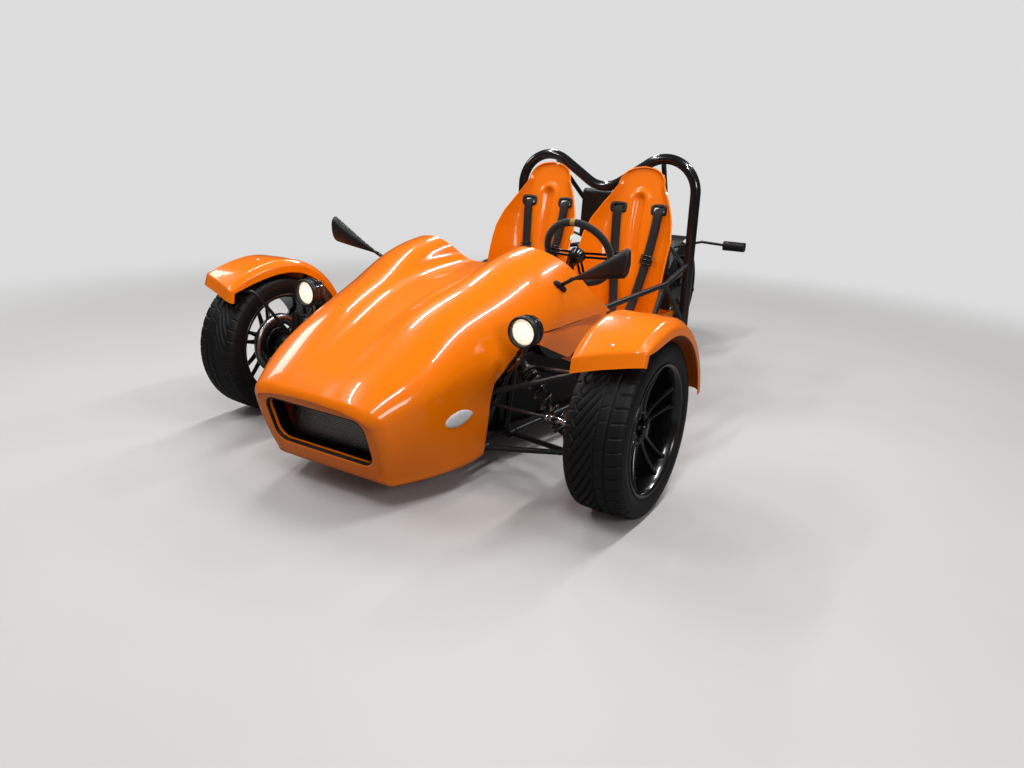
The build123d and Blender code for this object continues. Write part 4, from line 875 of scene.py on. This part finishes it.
def length_at(height):
    """Length up the seat's middle line in millimetres, at a height of the back in metres."""
    lengths = np.linspace(seat_run[5], seat_run[-1], 600)
    z = spline(seat_run, SEAT_LINE, lengths)[:, 1]
    return np.interp(np.asarray(height) * 1000, z, lengths)


def on_seat(side, x, z, lift):
    """A point at x from the seat's middle and height z, ahead of the back's face by lift,
    in metres."""
    length = length_at(z)
    middle = spline(seat_run, SEAT_LINE, length)
    half = np.interp(middle[..., 1], BACK_WIDTH[:, 0], BACK_WIDTH[:, 1])
    y, height, across = seat_point(length, np.asarray(x) * 1000 / half)
    return np.stack([side * SEAT_X + across / 1000, y / 1000 + AXLE_Y - lift, height / 1000], -1)


trim_a = np.linspace(0, 2 * pi, 49)[:-1]
trim_x = np.clip(np.cos(trim_a) * 1.5, -1, 1) * 0.026 + 0.010 * np.cos(trim_a)
trim_z = np.clip(np.sin(trim_a) * 1.5, -1, 1) * 0.009 + 0.010 * np.sin(trim_a)
for name, side in SIDES:
    grid = seat_grid(side, 190, 73)
    quads = quads_of(grid)
    middle = grid.reshape(-1, 3)[quads].mean(1)
    keep = np.ones(len(quads), bool)
    trims = []
    for inboard in (STRAP_X, -STRAP_X):
        away_x = np.abs(middle[:, 0] - side * SEAT_X - inboard)
        away_z = np.abs(middle[:, 2] - STRAP_Z)
        keep &= (away_x > 0.029) | (away_z > 0.017)
        loop = on_seat(side, inboard + trim_x, STRAP_Z + trim_z, 0.0)
        trims.append(hoop(loop, ring_profile(0.0088, 12, 0.7), (0, -1, 0.2)))
    piece(
        f"bucket_seat_{name}", [(grid, quads[keep])], gelcoat, thick=0.006, bevel=0.0015,
        replaces=f"seat_{name}",
    )
    piece(f"slot_trims_{name}", trims, plastic)

# Harnesses: black woven webbing. Two shoulder straps leave each seat's slots, pass
# their adjusters and meet two lap straps in a round buckle.
WEBBING = 0.046
WEBBING_THICK = 0.0016
STRAP_STEP = 0.008
BUCKLE = ((0, 0), (0, 30), (12, 31), (18, 26), (20, 0))
SLIDE_Z = 0.655
SLIDE_HALF = 0.029


def webbing_finish():
    """Black woven webbing: fine bricks along and across the strap's own length."""
    material = coating("webbing", "webbing", (0.006, 0.006, 0.0065), 0.75, speckle=0.2, patch=30)
    tree = material.node_tree
    strap_map = add_node(tree, "UVMap", {}, uv_map="strap")["UV"]
    weave = add_node(tree, "TexBrick", {
        "Vector": strap_map, "Scale": 1.0, "Brick Width": 0.0024, "Row Height": 0.0012,
        "Mortar Size": 0.00025,
    })["Fac"]
    bump = add_node(tree, "Bump", {"Height": weave, "Strength": 0.6, "Distance": 0.0004}, invert=True)
    feed(tree, tree.nodes["Principled BSDF"], {"Normal": bump["Normal"], "Sheen Weight": 0.05})
    return material


webbing = webbing_finish()


def strap(name, path, up):
    """A flat strap: a thin oblong section carried along the path, which lies on the seat;
    its UV map gives distance along and across in metres. Gives the piece and its line."""
    path = np.asarray(path, float)
    length = run_length(path)
    s = np.linspace(0, length[-1], int(length[-1] / STRAP_STEP) + 2)
    smooth = spline(length, path, s)
    across = WEBBING / 2 * np.array([-1, -1 / 3, 1 / 3, 1])
    edge = [(x, -WEBBING_THICK / 2) for x in across] + [(x, WEBBING_THICK / 2) for x in across[::-1]]
    obj = piece(name, [capped(sweep(smooth, edge, up))], webbing)
    mesh = obj.data
    uv = mesh.uv_layers.new(name="strap")
    points = np.empty(len(mesh.vertices) * 3)
    mesh.vertices.foreach_get("co", points)
    points = points.reshape(-1, 3)
    near = np.argmin(((points[:, None] - smooth[None]) ** 2).sum(2), 1)
    away = np.linalg.norm(points - smooth[near], axis=1) * np.sign(points[:, 0] - smooth[near, 0] + 1e-9)
    loops = np.empty(len(mesh.loops), int)
    mesh.loops.foreach_get("vertex_index", loops)
    uv.data.foreach_set("uv", np.stack([s[near], away], -1)[loops].ravel())
    return obj, smooth


def slide(line):
    """The adjuster on a strap's line at the height SLIDE_Z: a frame of five thin rods."""
    at = int(np.argmin(np.abs(line[:, 2] - SLIDE_Z)))
    ahead = unit(line[at + 1] - line[at - 1])
    right = unit(np.array([1.0, 0, 0]) - ahead[0] * ahead)
    out = np.cross(right, ahead)
    middle = line[at] - out * np.sign(out[1]) * 0.003
    bars = []
    for step in (-0.020, 0.0, 0.020):
        bar = middle + ahead * step
        bars.append(rod(bar - right * SLIDE_HALF, bar + right * SLIDE_HALF, 0.0035, 8))
    for edge in (-SLIDE_HALF, SLIDE_HALF):
        bar = middle + right * edge
        bars.append(rod(bar - ahead * 0.022, bar + ahead * 0.022, 0.0035, 8))
    return bars


for name, side in SIDES:
    buckle = np.array([side * SEAT_X, AXLE_Y + 1.075, 0.285])
    metal = [lathe(BUCKLE, buckle, (0, -0.35, 0.94), 40)]
    for index, inboard in enumerate((STRAP_X, -STRAP_X)):
        z = np.array([0.892, 0.885, 0.86, 0.80, 0.72, 0.64, 0.56, 0.48, 0.42])
        drift = inboard * (1 - 0.55 * ((0.892 - z) / 0.47) ** 1.5)
        lift = np.array([-0.02, 0.004, 0.010, 0.008, 0.008, 0.010, 0.012, 0.020, 0.034])
        down = on_seat(side, drift, z, lift)
        t = np.array([0.4, 0.75, 0.96])[:, None]
        to_buckle = down[-1] * (1 - t) + buckle * t + np.sin(pi * t) * (0, 0, -0.035)
        path = np.concatenate([down[:1] + (0, 0.035, 0.004), down, to_buckle])
        obj, line = strap(f"shoulder_strap_{name}_{index}", path, (0, -0.95, 0.3))
        if name == "left" and index == 0:
            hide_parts("harnesses")
        metal += slide(line)
        hip = np.array([side * SEAT_X + np.sign(inboard) * 0.188, AXLE_Y + 1.235, 0.355])
        t = np.array([0, 0.3, 0.6, 0.85, 0.97])[:, None]
        lap = hip * (1 - t) + buckle * t + np.sin(pi * t) * (0, -0.03, 0.02)
        strap(f"lap_strap_{name}_{index}", lap, (0, -0.4, 0.9))
    piece(f"buckle_and_slides_{name}", metal, gloss_black)

# Headlamps: a black canister with a deep rim on each damper tower. Its lit glass is a
# shallow dome with a ring of ribs.
LAMP = np.array([0.499, AXLE_Y - 0.083, 0.575])
GLASS_RADIUS = 44.5
LAMP_RIM = (
    (30, 43.5), (40, 44.5), (44, 47.5), (44, 52.5), (40, 54.5), (20, 54.5), (18, 52),
    (30, 43.5),
)
LAMP_BAND = band(-2, 4, 51.5, 54)


def lit_glass():
    """Warm lit glass: cells and blobs of light."""
    material = coating("lit_glass", "lens", (0.85, 0.8, 0.7), 0.08, speckle=0.1, patch=60, coat=1.0)
    tree = material.node_tree
    place = tree.nodes["Texture Coordinate"].outputs["Object"]
    cells = add_node(tree, "TexVoronoi", {"Vector": place, "Scale": 150})["Distance"]
    blobs = add_node(tree, "TexNoise", {"Vector": place, "Scale": 42})["Fac"]
    both = add_node(tree, "Math", {0: cells, 1: blobs}, operation="MULTIPLY")["Value"]
    warm = tree.nodes.new("ShaderNodeValToRGB")
    warm.color_ramp.elements[0].color = (1.0, 0.93, 0.8, 1)
    warm.color_ramp.elements[1].color = (0.55, 0.42, 0.25, 1)
    warm.color_ramp.elements[1].position = 0.45
    feed(tree, warm, {"Fac": both})
    feed(tree, tree.nodes["Principled BSDF"], {
        "Emission Color": warm.outputs["Color"], "Emission Strength": 1.15,
    })
    return material


glass = lit_glass()
r = np.linspace(0, GLASS_RADIUS, 26)
ribs = 1.2 * np.cos(r / GLASS_RADIUS * 7 * pi) * (r > 12)
dome = 36.5 - 8 * (r / GLASS_RADIUS) ** 2 + ribs
glass_profile = [*zip(dome, r), (26, GLASS_RADIUS), (26, 0)]
for name, side in SIDES:
    middle = LAMP * (side, 1, 1)
    piece(f"headlamp_glass_{name}", [lathe(glass_profile, middle, (0, -1, 0), 72)], glass)
    parts = [lathe(form, middle, (0, -1, 0), 72) for form in (LAMP_RIM, LAMP_BAND)]
    piece(f"headlamp_rim_{name}", parts, plastic)

# Mirrors: a long tapering black head on a short stalk, its glass to the rear, on a slim
# foot on the cowl. Its outer end is cut on the slant.
MIRROR_INNER = np.array([0.462, AXLE_Y + 0.270, 0.697])
MIRROR_OUTER = np.array([0.704, AXLE_Y + 0.252, 0.782])
MIRROR_FOOT = np.array([0.420, AXLE_Y + 0.281, 0.668])
SKEW = 0.42
mirror_glass = coating("mirror_glass", "alloy", (0.75, 0.77, 0.8), 0.03, metallic=1.0, speckle=0.02)
back = np.array([0, 1.0, 0])


def head_sizes(t):
    """Half height, depth, lean and skew share of a mirror's head at t, which runs 0-1 from
    its stalk to its outer end."""
    close = np.sqrt(np.clip(1 - ramp(t, 0.88, 1) ** 3.2, 0, 1))
    tall = (0.0065 + 0.044 * ramp(t, 0.08, 0.92) ** 1.1) * close
    deep = (0.0065 + 0.017 * ramp(t, 0.1, 0.7)) * close
    reach = ramp(t, 0.3, 1)
    return tall, deep, 0.18 * tall * reach, SKEW * reach


def mirror_foot(side):
    """A low oval dome that lies on the cowl under the stalk, closed below."""
    a = np.linspace(0, 1, 9)[:, None]
    q = np.linspace(0, 2 * pi, 37)[None, :]
    along_cowl = unit(np.array([side * 0.30, 0.78, -0.55]))
    out = np.array([side * 0.72, 0.12, 0.69])
    across = unit(np.cross(along_cowl, out))
    rise = (0.008 * np.sqrt(np.clip(1 - a ** 3, 0, 1)) + 0 * q)[..., None] * out
    flat = (0.036 * a * np.cos(q))[..., None] * along_cowl + (0.014 * a * np.sin(q))[..., None] * across
    top = MIRROR_FOOT * (side, 1, 1) + flat + rise
    grid = np.concatenate([top, (top - rise - 0.012 * out)[::-1]])
    return grid, quads_of(grid)


for name, side in SIDES:
    start, end = MIRROR_INNER * (side, 1, 1), MIRROR_OUTER * (side, 1, 1)
    axis = unit(end - start)
    over = unit(np.array([-axis[2] * side, 0, abs(axis[0])]))
    t = np.linspace(0, 1, 40)[:, None]
    tall, deep, lean, skew = head_sizes(t)
    q = np.linspace(0, 2 * pi, 41)[None, :-1]
    level = tall * np.sign(np.sin(q)) * np.abs(np.sin(q)) ** 0.65 + lean
    fore = deep * np.where(np.cos(q) > 0, 0.45, 1) * np.cos(q)
    line = (start + (end - start) * t)[:, None]
    grid = line + level[..., None] * over + fore[..., None] * back + (skew * level)[..., None] * axis
    stalk = rod((side * 0.424, AXLE_Y + 0.281, 0.672), start + axis * 0.012, 0.0075, 14)
    piece(f"mirror_body_{name}", [capped(grid), stalk, mirror_foot(side)], plastic, replaces=f"mirror_{name}")
    share, u = np.linspace(0, 1, 30)[:, None], np.linspace(-1, 1, 17)[None, :]
    at = 0.34 + 0.60 * share
    pane_tall, pane_deep, pane_lean, skew = [
        np.interp(at, t[:, 0], value[:, 0]) for value in (tall, deep, lean, skew)
    ]
    level = 0.84 * pane_tall * np.sqrt(np.clip(1 - (2 * share - 1) ** 8, 0, 1)) * u + pane_lean
    proud = 0.45 * pane_deep * np.sqrt(np.clip(1 - (0.84 * u) ** 2, 0, 1)) + 0.0008
    line = (start + (end - start) * at)[:, None]
    pane = line + level[..., None] * over + proud[..., None] * back + (skew * level)[..., None] * axis
    piece(f"mirror_pane_{name}", [(pane, quads_of(pane, side < 0))], mirror_glass, thick=0.001)

# Coil-overs: a black wound spring round a gas damper with a bright rod, between two
# turned perches, with a rubber bushed eye at each end.
chrome = coating("bright_steel", "alloy", (0.72, 0.72, 0.72), 0.12, metallic=1.0, speckle=0.05)
# places along these three are shares of the distance between the eyes
DAMPER_TOP = (
    (0.04, 0), (0.04, 14), (0.1, 19), (0.12, 19), (0.125, 33), (0.155, 33), (0.16, 26),
    (0.17, 19), (0.56, 19), (0.57, 15), (0.57, 0),
)
DAMPER_FOOT = ((0.855, 0), (0.855, 26), (0.86, 33), (0.885, 33), (0.89, 20), (0.96, 13), (0.96, 0))
DAMPER_ROD = disc(0.55, 0.87, 7.5)
EYE = band(-12, 12, 6, 14.5)
BOLT = disc(-21, -14, 10)


def spring(start, end, radius, wire_radius, turns):
    """A helix of round wire about the line from start to end: its two end turns lie flatter
    because the rise follows t - 0.75 sin(2 pi t) / (2 pi)."""
    run = np.linalg.norm(end - start)
    axis = (end - start) / run
    u = unit(np.cross(axis, (0, 1, 0)))
    v = np.cross(axis, u)
    t = np.linspace(0, 1, int(turns * 28))[:, None]
    rise = t - 0.75 * np.sin(2 * pi * t) / (2 * pi)
    q = 2 * pi * turns * t
    ray = np.cos(q) * u + np.sin(q) * v
    path = start + (end - start) * (wire_radius / run * (1 - 2 * rise) + rise) + radius * ray
    over = np.cross(unit(np.gradient(path, axis=0)), ray)
    section = ring_profile(wire_radius, 10)
    return capped(path[:, None] + section[None, :, :1] * ray[:, None] + section[None, :, 1:] * over[:, None])


def coil_over(name, stands_for, top, foot, turns, eye_axis=(0, 1, 0)):
    """A coil-over between two eyes: body, rod, bolts and spring."""
    top, foot, eye_axis = np.array(top), np.array(foot), np.array(eye_axis, float)
    run = np.linalg.norm(foot - top)
    axis = (foot - top) / run

    def turned(pairs):
        return lathe([(a * run * 1000, r) for a, r in pairs], top, axis, 40)

    body = [turned(DAMPER_TOP), turned(DAMPER_FOOT)] + [lathe(EYE, eye, eye_axis, 28) for eye in (top, foot)]
    piece(name + "_body", body, powder_coat, replaces=stands_for)
    piece(name + "_rod", [turned(DAMPER_ROD)], chrome)
    bolts = [rod(eye - eye_axis * 0.02, eye + eye_axis * 0.02, 0.006, 10) for eye in (top, foot)]
    bolts += [lathe(BOLT, eye, eye_axis, 6) for eye in (top, foot)]
    piece(name + "_bolts", bolts, alloy)
    coil = spring(top + axis * run * 0.158, top + axis * run * 0.858, 0.027, 0.0052, turns)
    piece(name + "_spring", [coil], gloss_black)


for name, side in SIDES:
    coil_over(
        f"front_damper_{name}", f"damper_{name}",
        (side * 0.432, AXLE_Y - 0.010, 0.446), (side * 0.636, AXLE_Y - 0.010, 0.204), 8,
    )
coil_over("back_damper", "rear_shock", (0, AXLE_Y + 2.060, 0.618), (0, AXLE_Y + 2.160, 0.336), 7, (1, 0, 0))

# Rod ends: plated steel ball joints with lock nuts at the tie rods' outer ends.
SHANK = ((-60, 0), (-60, 9.5), (-48, 9.5), (-48, 7.5), (-12, 8.5), (-4, 0))
LOCK_NUT = disc(-74, -63, 11)
BALL_RING = band(-7, 7, 11.3, 16.5)
joint_parts = []
for side in (1, -1):
    inner = np.array([side * 0.344, AXLE_Y - 0.088, 0.292])
    outer = np.array([side * 0.662, AXLE_Y - 0.092, 0.292])
    joint_parts.append(lathe(SHANK, outer, outer - inner, 20))
    joint_parts.append(lathe(LOCK_NUT, outer, outer - inner, 6))
    joint_parts.append(lathe(BALL_RING, outer, (0, 0, 1), 28))
piece("rod_ends", joint_parts, chrome, "rack_rods")

# Steering wheel: a thick ring wrapped in black suede with a tan stripe at its top, on
# three slotted black spokes and a round boss. Its shaft runs down to the rack's pinion.
suede = coating("black_suede", "suede", (0.010, 0.010, 0.010), 0.85, grain=0.7, grain_size=1600)
suede.node_tree.nodes["Principled BSDF"].inputs["Sheen Weight"].default_value = 0.25
tan_suede = coating("tan_suede", "suede", (0.42, 0.25, 0.06), 0.8, grain=0.5, grain_size=1600)
WHEEL_MIDDLE = np.array([0.240, AXLE_Y + 0.775, 0.724])
WHEEL_RADIUS = 0.152
PINION = np.array([0.240, AXLE_Y - 0.088, 0.292])
BOSS = ((-60, 0), (-60, 27), (-18, 31), (-14, 37), (-8, 37), (-6, 26), (6, 24), (11, 20), (12, 0))
BOSS_SCREW = disc(-9, -5.5, 3.2)
shaft_way = unit(WHEEL_MIDDLE - PINION)
wheel_up = np.array([0, -shaft_way[2], shaft_way[1]])


def on_wheel(q, r):
    """Points of the steering wheel's plane at angles q and distances r from its middle."""
    q, r = np.broadcast_arrays(q, r)
    return WHEEL_MIDDLE + (r * np.cos(q))[..., None] * (1, 0, 0) + (r * np.sin(q))[..., None] * wheel_up


ring_line = on_wheel(np.linspace(0, 2 * pi, 145)[:-1], WHEEL_RADIUS)
ring = hoop(ring_line, ring_profile(0.0168, 20, 0.88), shaft_way)
piece("steering_ring", [ring], suede, "steering", replaces="steering_wheel")
stripe_line = on_wheel(pi / 2 + np.radians(np.linspace(-4, 4, 9)), WHEEL_RADIUS)
stripe = capped(sweep(stripe_line, ring_profile(0.0173, 20, 0.88), shaft_way))
piece("steering_stripe", [stripe], tan_suede, "steering")
parts = [lathe(BOSS, WHEEL_MIDDLE, shaft_way, 48)]
parts.append(rod(WHEEL_MIDDLE - 0.055 * shaft_way, PINION + 0.058 * shaft_way, 0.010, 20))
reach = np.linspace(0.026, 0.142, 12)
for angle in (0, pi, -pi / 2):
    for edge in (-0.010, 0.010):
        path = on_wheel(angle + np.arcsin(edge / reach), reach)
        path = path - np.linspace(0.011, 0.002, 12)[:, None] * shaft_way
        parts.append(capped(sweep(path, ring_profile(0.0066, 12, 0.36), shaft_way)))
for index in range(6):
    spot = on_wheel(np.float64(index * pi / 3 + 0.52), np.float64(0.031))
    parts.append(lathe(BOSS_SCREW, spot, shaft_way, 12))
piece("steering_spokes", parts, gloss_black, "steering")

# Engine: cast cases in satin black with pressed fins round the cylinders, round covers
# held by small bolts on both sides, and a black fuel tank with a screw cap above it.
FIN_CORNER = 0.012
COVER = ((-2, 0), (-2, 79), (4, 79), (7, 75), (7, 62), (12, 56), (13, 0))
COVER_BOLT = ((-2, 0), (-2, 4.2), (4, 4.2), (4.6, 3), (4.6, 0))
TANK_CAP = ((-4, 0), (-4, 50), (3, 50), (4, 40), (14, 38), (17, 33), (17, 0))
trim, cover_bolts = [], []
for height in np.linspace(0.452, 0.592, 8):
    front = AXLE_Y + 1.640 - 0.030 * (height - 0.380) / 0.190 + FIN_CORNER
    rear = AXLE_Y + 1.800 - 0.030 * (height - 0.430) / 0.180 - FIN_CORNER
    loop = []
    for turn, (x, y) in enumerate(((0.178, rear), (-0.178, rear), (-0.178, front), (0.178, front))):
        q = np.linspace(0, pi / 2, 6) + turn * pi / 2
        loop.append(np.stack([x + FIN_CORNER * np.cos(q), y + FIN_CORNER * np.sin(q), height + 0 * q], -1))
    trim.append(hoop(np.concatenate(loop), ring_profile(0.0085, 8, 0.32), (0, 0, 1)))
for side in (1, -1):
    middle = np.array([side * 0.188, AXLE_Y + 1.760, 0.320])
    trim.append(lathe(COVER, middle, (side, 0, 0), 64))
    for index in range(8):
        q = 2 * pi * index / 8 + 0.2
        spot = middle + (side * 0.006, 0.069 * cos(q), 0.069 * sin(q))
        cover_bolts.append(lathe(COVER_BOLT, spot, (side, 0, 0), 10))
piece("engine_trim", trim, dark_alloy)
piece("engine_bolts", cover_bolts, alloy)
piece("tank_cap", [lathe(TANK_CAP, (0, AXLE_Y + 1.630, 0.960), (0, 0, 1), 48)], alloy)

# Silencer and lamps: two pressed bands and a turned end round the silencer's outlet, an
# amber lens on the rear of each turn lamp's pod and a red one on the tail lamp.
steel = coating("exhaust_steel", "exhaust_steel", (0.46, 0.44, 0.42), 0.3, metallic=1.0, speckle=0.15,
                patch=14)
finish_nodes(steel, "exhaust")
silencer_start = np.array([-0.264, AXLE_Y + 2.150, 0.422])
silencer_end = np.array([-0.276, AXLE_Y + 2.570, 0.642])
run = silencer_end - silencer_start
OUTLET = (
    (-12, 55.8), (-12, 58.5), (2, 58.5), (6, 53), (7, 30), (18, 29), (18, 25), (-30, 25),
    (-30, 0),
)
CLAMP = band(-8, 8, 55.5, 58.2)
parts = [lathe(OUTLET, silencer_end, run, 64)]
parts += [lathe(CLAMP, silencer_start + run * share, run, 64) for share in (0.1, 0.74)]
piece("silencer_bands", parts, dark_alloy)
amber = coating("amber_lens", "lens", (0.85, 0.22, 0.01), 0.12, coat=1.0, grain=0.5, grain_size=300)
red = coating("red_lens", "lens", (0.42, 0.005, 0.004), 0.12, coat=1.0, grain=0.5, grain_size=300)
pods = []
for side in (1, -1):
    ends = [(side * x, AXLE_Y + 1.917, 0.692) for x in (0.556, 0.649)]
    pods.append(capped(sweep(ends, ring_profile(0.0215, 24, 0.86), (0, 1, 0))))
piece("turn_pod_lenses", pods, amber)
spread, q = np.linspace(0, 1, 10)[:, None], np.linspace(0, 2 * pi, 49)[None, :]
lobe_x = np.sign(np.cos(q)) * np.abs(np.cos(q)) ** 0.4
lobe_z = np.sign(np.sin(q)) * np.abs(np.sin(q)) ** 0.4
tail_y = AXLE_Y + 2.117 + 0.009 * np.sqrt(1 - spread ** 4) + 0 * q
tail = np.stack([0.069 * spread * lobe_x, tail_y, 0.700 + 0.0225 * spread * lobe_z], -1)
tail[:, -1] = tail[:, 0]
tail = np.concatenate([tail, tail[::-1] * (1, 0, 1) + (0, AXLE_Y + 2.115, 0)])
piece("tail_lens", [(tail, quads_of(tail))], red)

# Chain: pressed steel links on pins, from the gearbox back to the rear wheel's sprocket.
chain_steel = coating("chain_steel", "chain_steel", (0.3, 0.29, 0.28), 0.35, metallic=1.0, patch=40)
CHAIN_PITCH = 0.015875
CHAIN_X = 0.108
FRONT_SPROCKET = (AXLE_Y + 2.000, 0.300, 0.044)
BACK_SPROCKET = (AXLE_Y + 2.600, 0.311, 0.109)
CHAIN_PIN = disc(-10, 10, 2.6)
ROLLER = disc(-5.5, 5.5, 5)


def chain_line():
    """Points of the chain's closed middle line, one pitch apart: an arc round each
    sprocket (station, height, radius), joined by straight runs."""
    (y0, z0, r0), (y1, z1, r1) = FRONT_SPROCKET, BACK_SPROCKET
    lift = atan2(z1 - z0, y1 - y0)
    lean = atan2(r1 - r0, hypot(y1 - y0, z1 - z0))
    high, low = lift + pi / 2 + lean, lift - pi / 2 - lean
    back, front = np.linspace(high, low, 80), np.linspace(low, high - 2 * pi, 60)
    y = np.concatenate([y1 + r1 * np.cos(back), y0 + r0 * np.cos(front), [y1 + r1 * cos(high)]])
    z = np.concatenate([z1 + r1 * np.sin(back), z0 + r0 * np.sin(front), [z1 + r1 * sin(high)]])
    length = run_length(np.stack([y, z], -1))
    s = np.linspace(0, length[-1], 2 * int(length[-1] / CHAIN_PITCH / 2) + 1)
    return np.stack([CHAIN_X + 0 * s, np.interp(s, length, y), np.interp(s, length, z)], -1)


links = []
pins = chain_line()
for index, (here, ahead) in enumerate(zip(pins, pins[1:])):
    links += [lathe(form, here, (1, 0, 0), 8) for form in (CHAIN_PIN, ROLLER)]
    wide = 0.0066 if index % 2 else 0.0086
    ends = np.stack([here, ahead]) + np.outer((-0.3, 0.3), ahead - here)
    for x in (-wide, wide):
        links.append(capped(sweep(ends + (x, 0, 0), ring_profile(0.0060, 8, 0.14), (1, 0, 0))))
piece("drive_chain", links, chain_steel, replaces="chain")

# Stage: a pale floor under a pale room, lit from above by rows of tube lamps as in a
# workshop, with soft light from the sides. What the camera sees past the floor is pale too.
FLOOR_HALF = 60.0
corners = [(x * FLOOR_HALF, y * FLOOR_HALF, 0) for x, y in ((-1, -1), (1, -1), (1, 1), (-1, 1))]
floor_mesh = bpy.data.meshes.new("floor")
floor_mesh.from_pydata(corners, [], [(0, 1, 2, 3)])
floor = bpy.data.objects.new("floor", floor_mesh)
bpy.context.scene.collection.objects.link(floor)
PALE = (0.72, 0.72, 0.72, 1)
FADE_START, FADE_END = 2.4, 5.0


def floor_finish():
    """Pale concrete that fades with distance into the even pale tone of the room, as the
    camera sees it, also through glass. The light that it throws back is that of a darker
    floor."""
    material = coating("pale_floor", "alloy", (0.52, 0.51, 0.5), 0.6, speckle=0.04, patch=1.2, specular=0.2)
    tree = material.node_tree
    shader = tree.nodes["Principled BSDF"]
    place = tree.nodes["Texture Coordinate"].outputs["Object"]
    pale, dark = tree.nodes["Mix"].outputs["Result"], (0.16, 0.157, 0.154, 1)
    away = add_node(tree, "VectorMath", {0: place}, operation="LENGTH")["Value"]
    fade = add_node(tree, "MapRange", {
        "Value": away, "From Min": FADE_START, "From Max": FADE_END,
    }, interpolation_type="SMOOTHSTEP")["Result"]
    ray = add_node(tree, "LightPath", {})
    seen = ray["Is Camera Ray"]
    tone = add_node(tree, "Mix", {"A": dark, "B": pale, "Factor": seen}, data_type="RGBA")["Result"]
    feed(tree, shader, {"Base Color": tone})
    seen = add_node(tree, "Math", {0: seen, 1: ray["Is Transmission Ray"]}, operation="MAXIMUM")["Value"]
    share = add_node(tree, "Math", {0: seen, 1: fade}, operation="MULTIPLY")["Value"]
    glow = add_node(tree, "Emission", {"Color": PALE})["Emission"]
    mix = add_node(tree, "MixShader", {"Fac": share, 1: shader.outputs["BSDF"], 2: glow})["Shader"]
    feed(tree, tree.nodes["Material Output"], {"Surface": mix})
    return material


floor.data.materials.append(floor_finish())
world = bpy.data.worlds.new("studio")
bpy.context.scene.world = world
world.use_nodes = True
sky = world.node_tree
ray = add_node(sky, "LightPath", {})
gloss = add_node(sky, "Mix", {"A": 0.42, "B": 0.07, "Factor": ray["Is Glossy Ray"]})["Result"]
level = add_node(sky, "Mix", {"A": gloss, "B": 1.0, "Factor": ray["Is Camera Ray"]})["Result"]
feed(sky, sky.nodes["Background"], {"Color": PALE, "Strength": level})


def lamp(name, place, turn, size, power):
    """A rectangular area lamp."""
    light = bpy.data.lights.new(name, "AREA")
    light.shape = "RECTANGLE"
    light.size, light.size_y = size
    light.energy = power
    obj = bpy.data.objects.new(name, light)
    obj.location = place
    obj.rotation_euler = turn
    bpy.context.scene.collection.objects.link(obj)


TUBES = ((-1.7, -2.7), (1.3, -3.1), (-1.5, -0.2), (1.4, -0.5), (-1.6, 2.3), (1.5, 2.2))
for index, (x, y) in enumerate(TUBES):
    lamp(f"tube_{index}", (x, y, 3.3), (0, 0, pi / 2), (1.5, 0.09), 45)
lamp("soft_side", (4.6, -3.4, 2.6), (radians(62), 0, radians(52)), (1.6, 0.9), 50)
lamp("soft_far", (-4.5, -1.0, 3.0), (radians(55), 0, radians(-100)), (1.6, 0.9), 30)

# Camera: at eye height before the car's left front corner, turned and tipped as the
# picture was taken.
CAMERA_PLACE = (1.721, -3.347, 1.153)
CAMERA_AZIMUTH = radians(31.15)
CAMERA_DOWN = radians(17.43)
CAMERA_ROLL = radians(2.33)
camera_data = bpy.data.cameras.new("camera")
camera_data.sensor_width = 36.0
camera_data.lens = 26.48
camera = bpy.data.objects.new("camera", camera_data)
camera.matrix_world = (
    Matrix.Translation(CAMERA_PLACE)
    @ Matrix.Rotation(CAMERA_AZIMUTH, 4, "Z")
    @ Matrix.Rotation(pi / 2 - CAMERA_DOWN, 4, "X")
    @ Matrix.Rotation(CAMERA_ROLL, 4, "Z")
)
bpy.context.scene.collection.objects.link(camera)
bpy.context.scene.camera = camera
bpy.context.scene.view_settings.view_transform = "Standard"
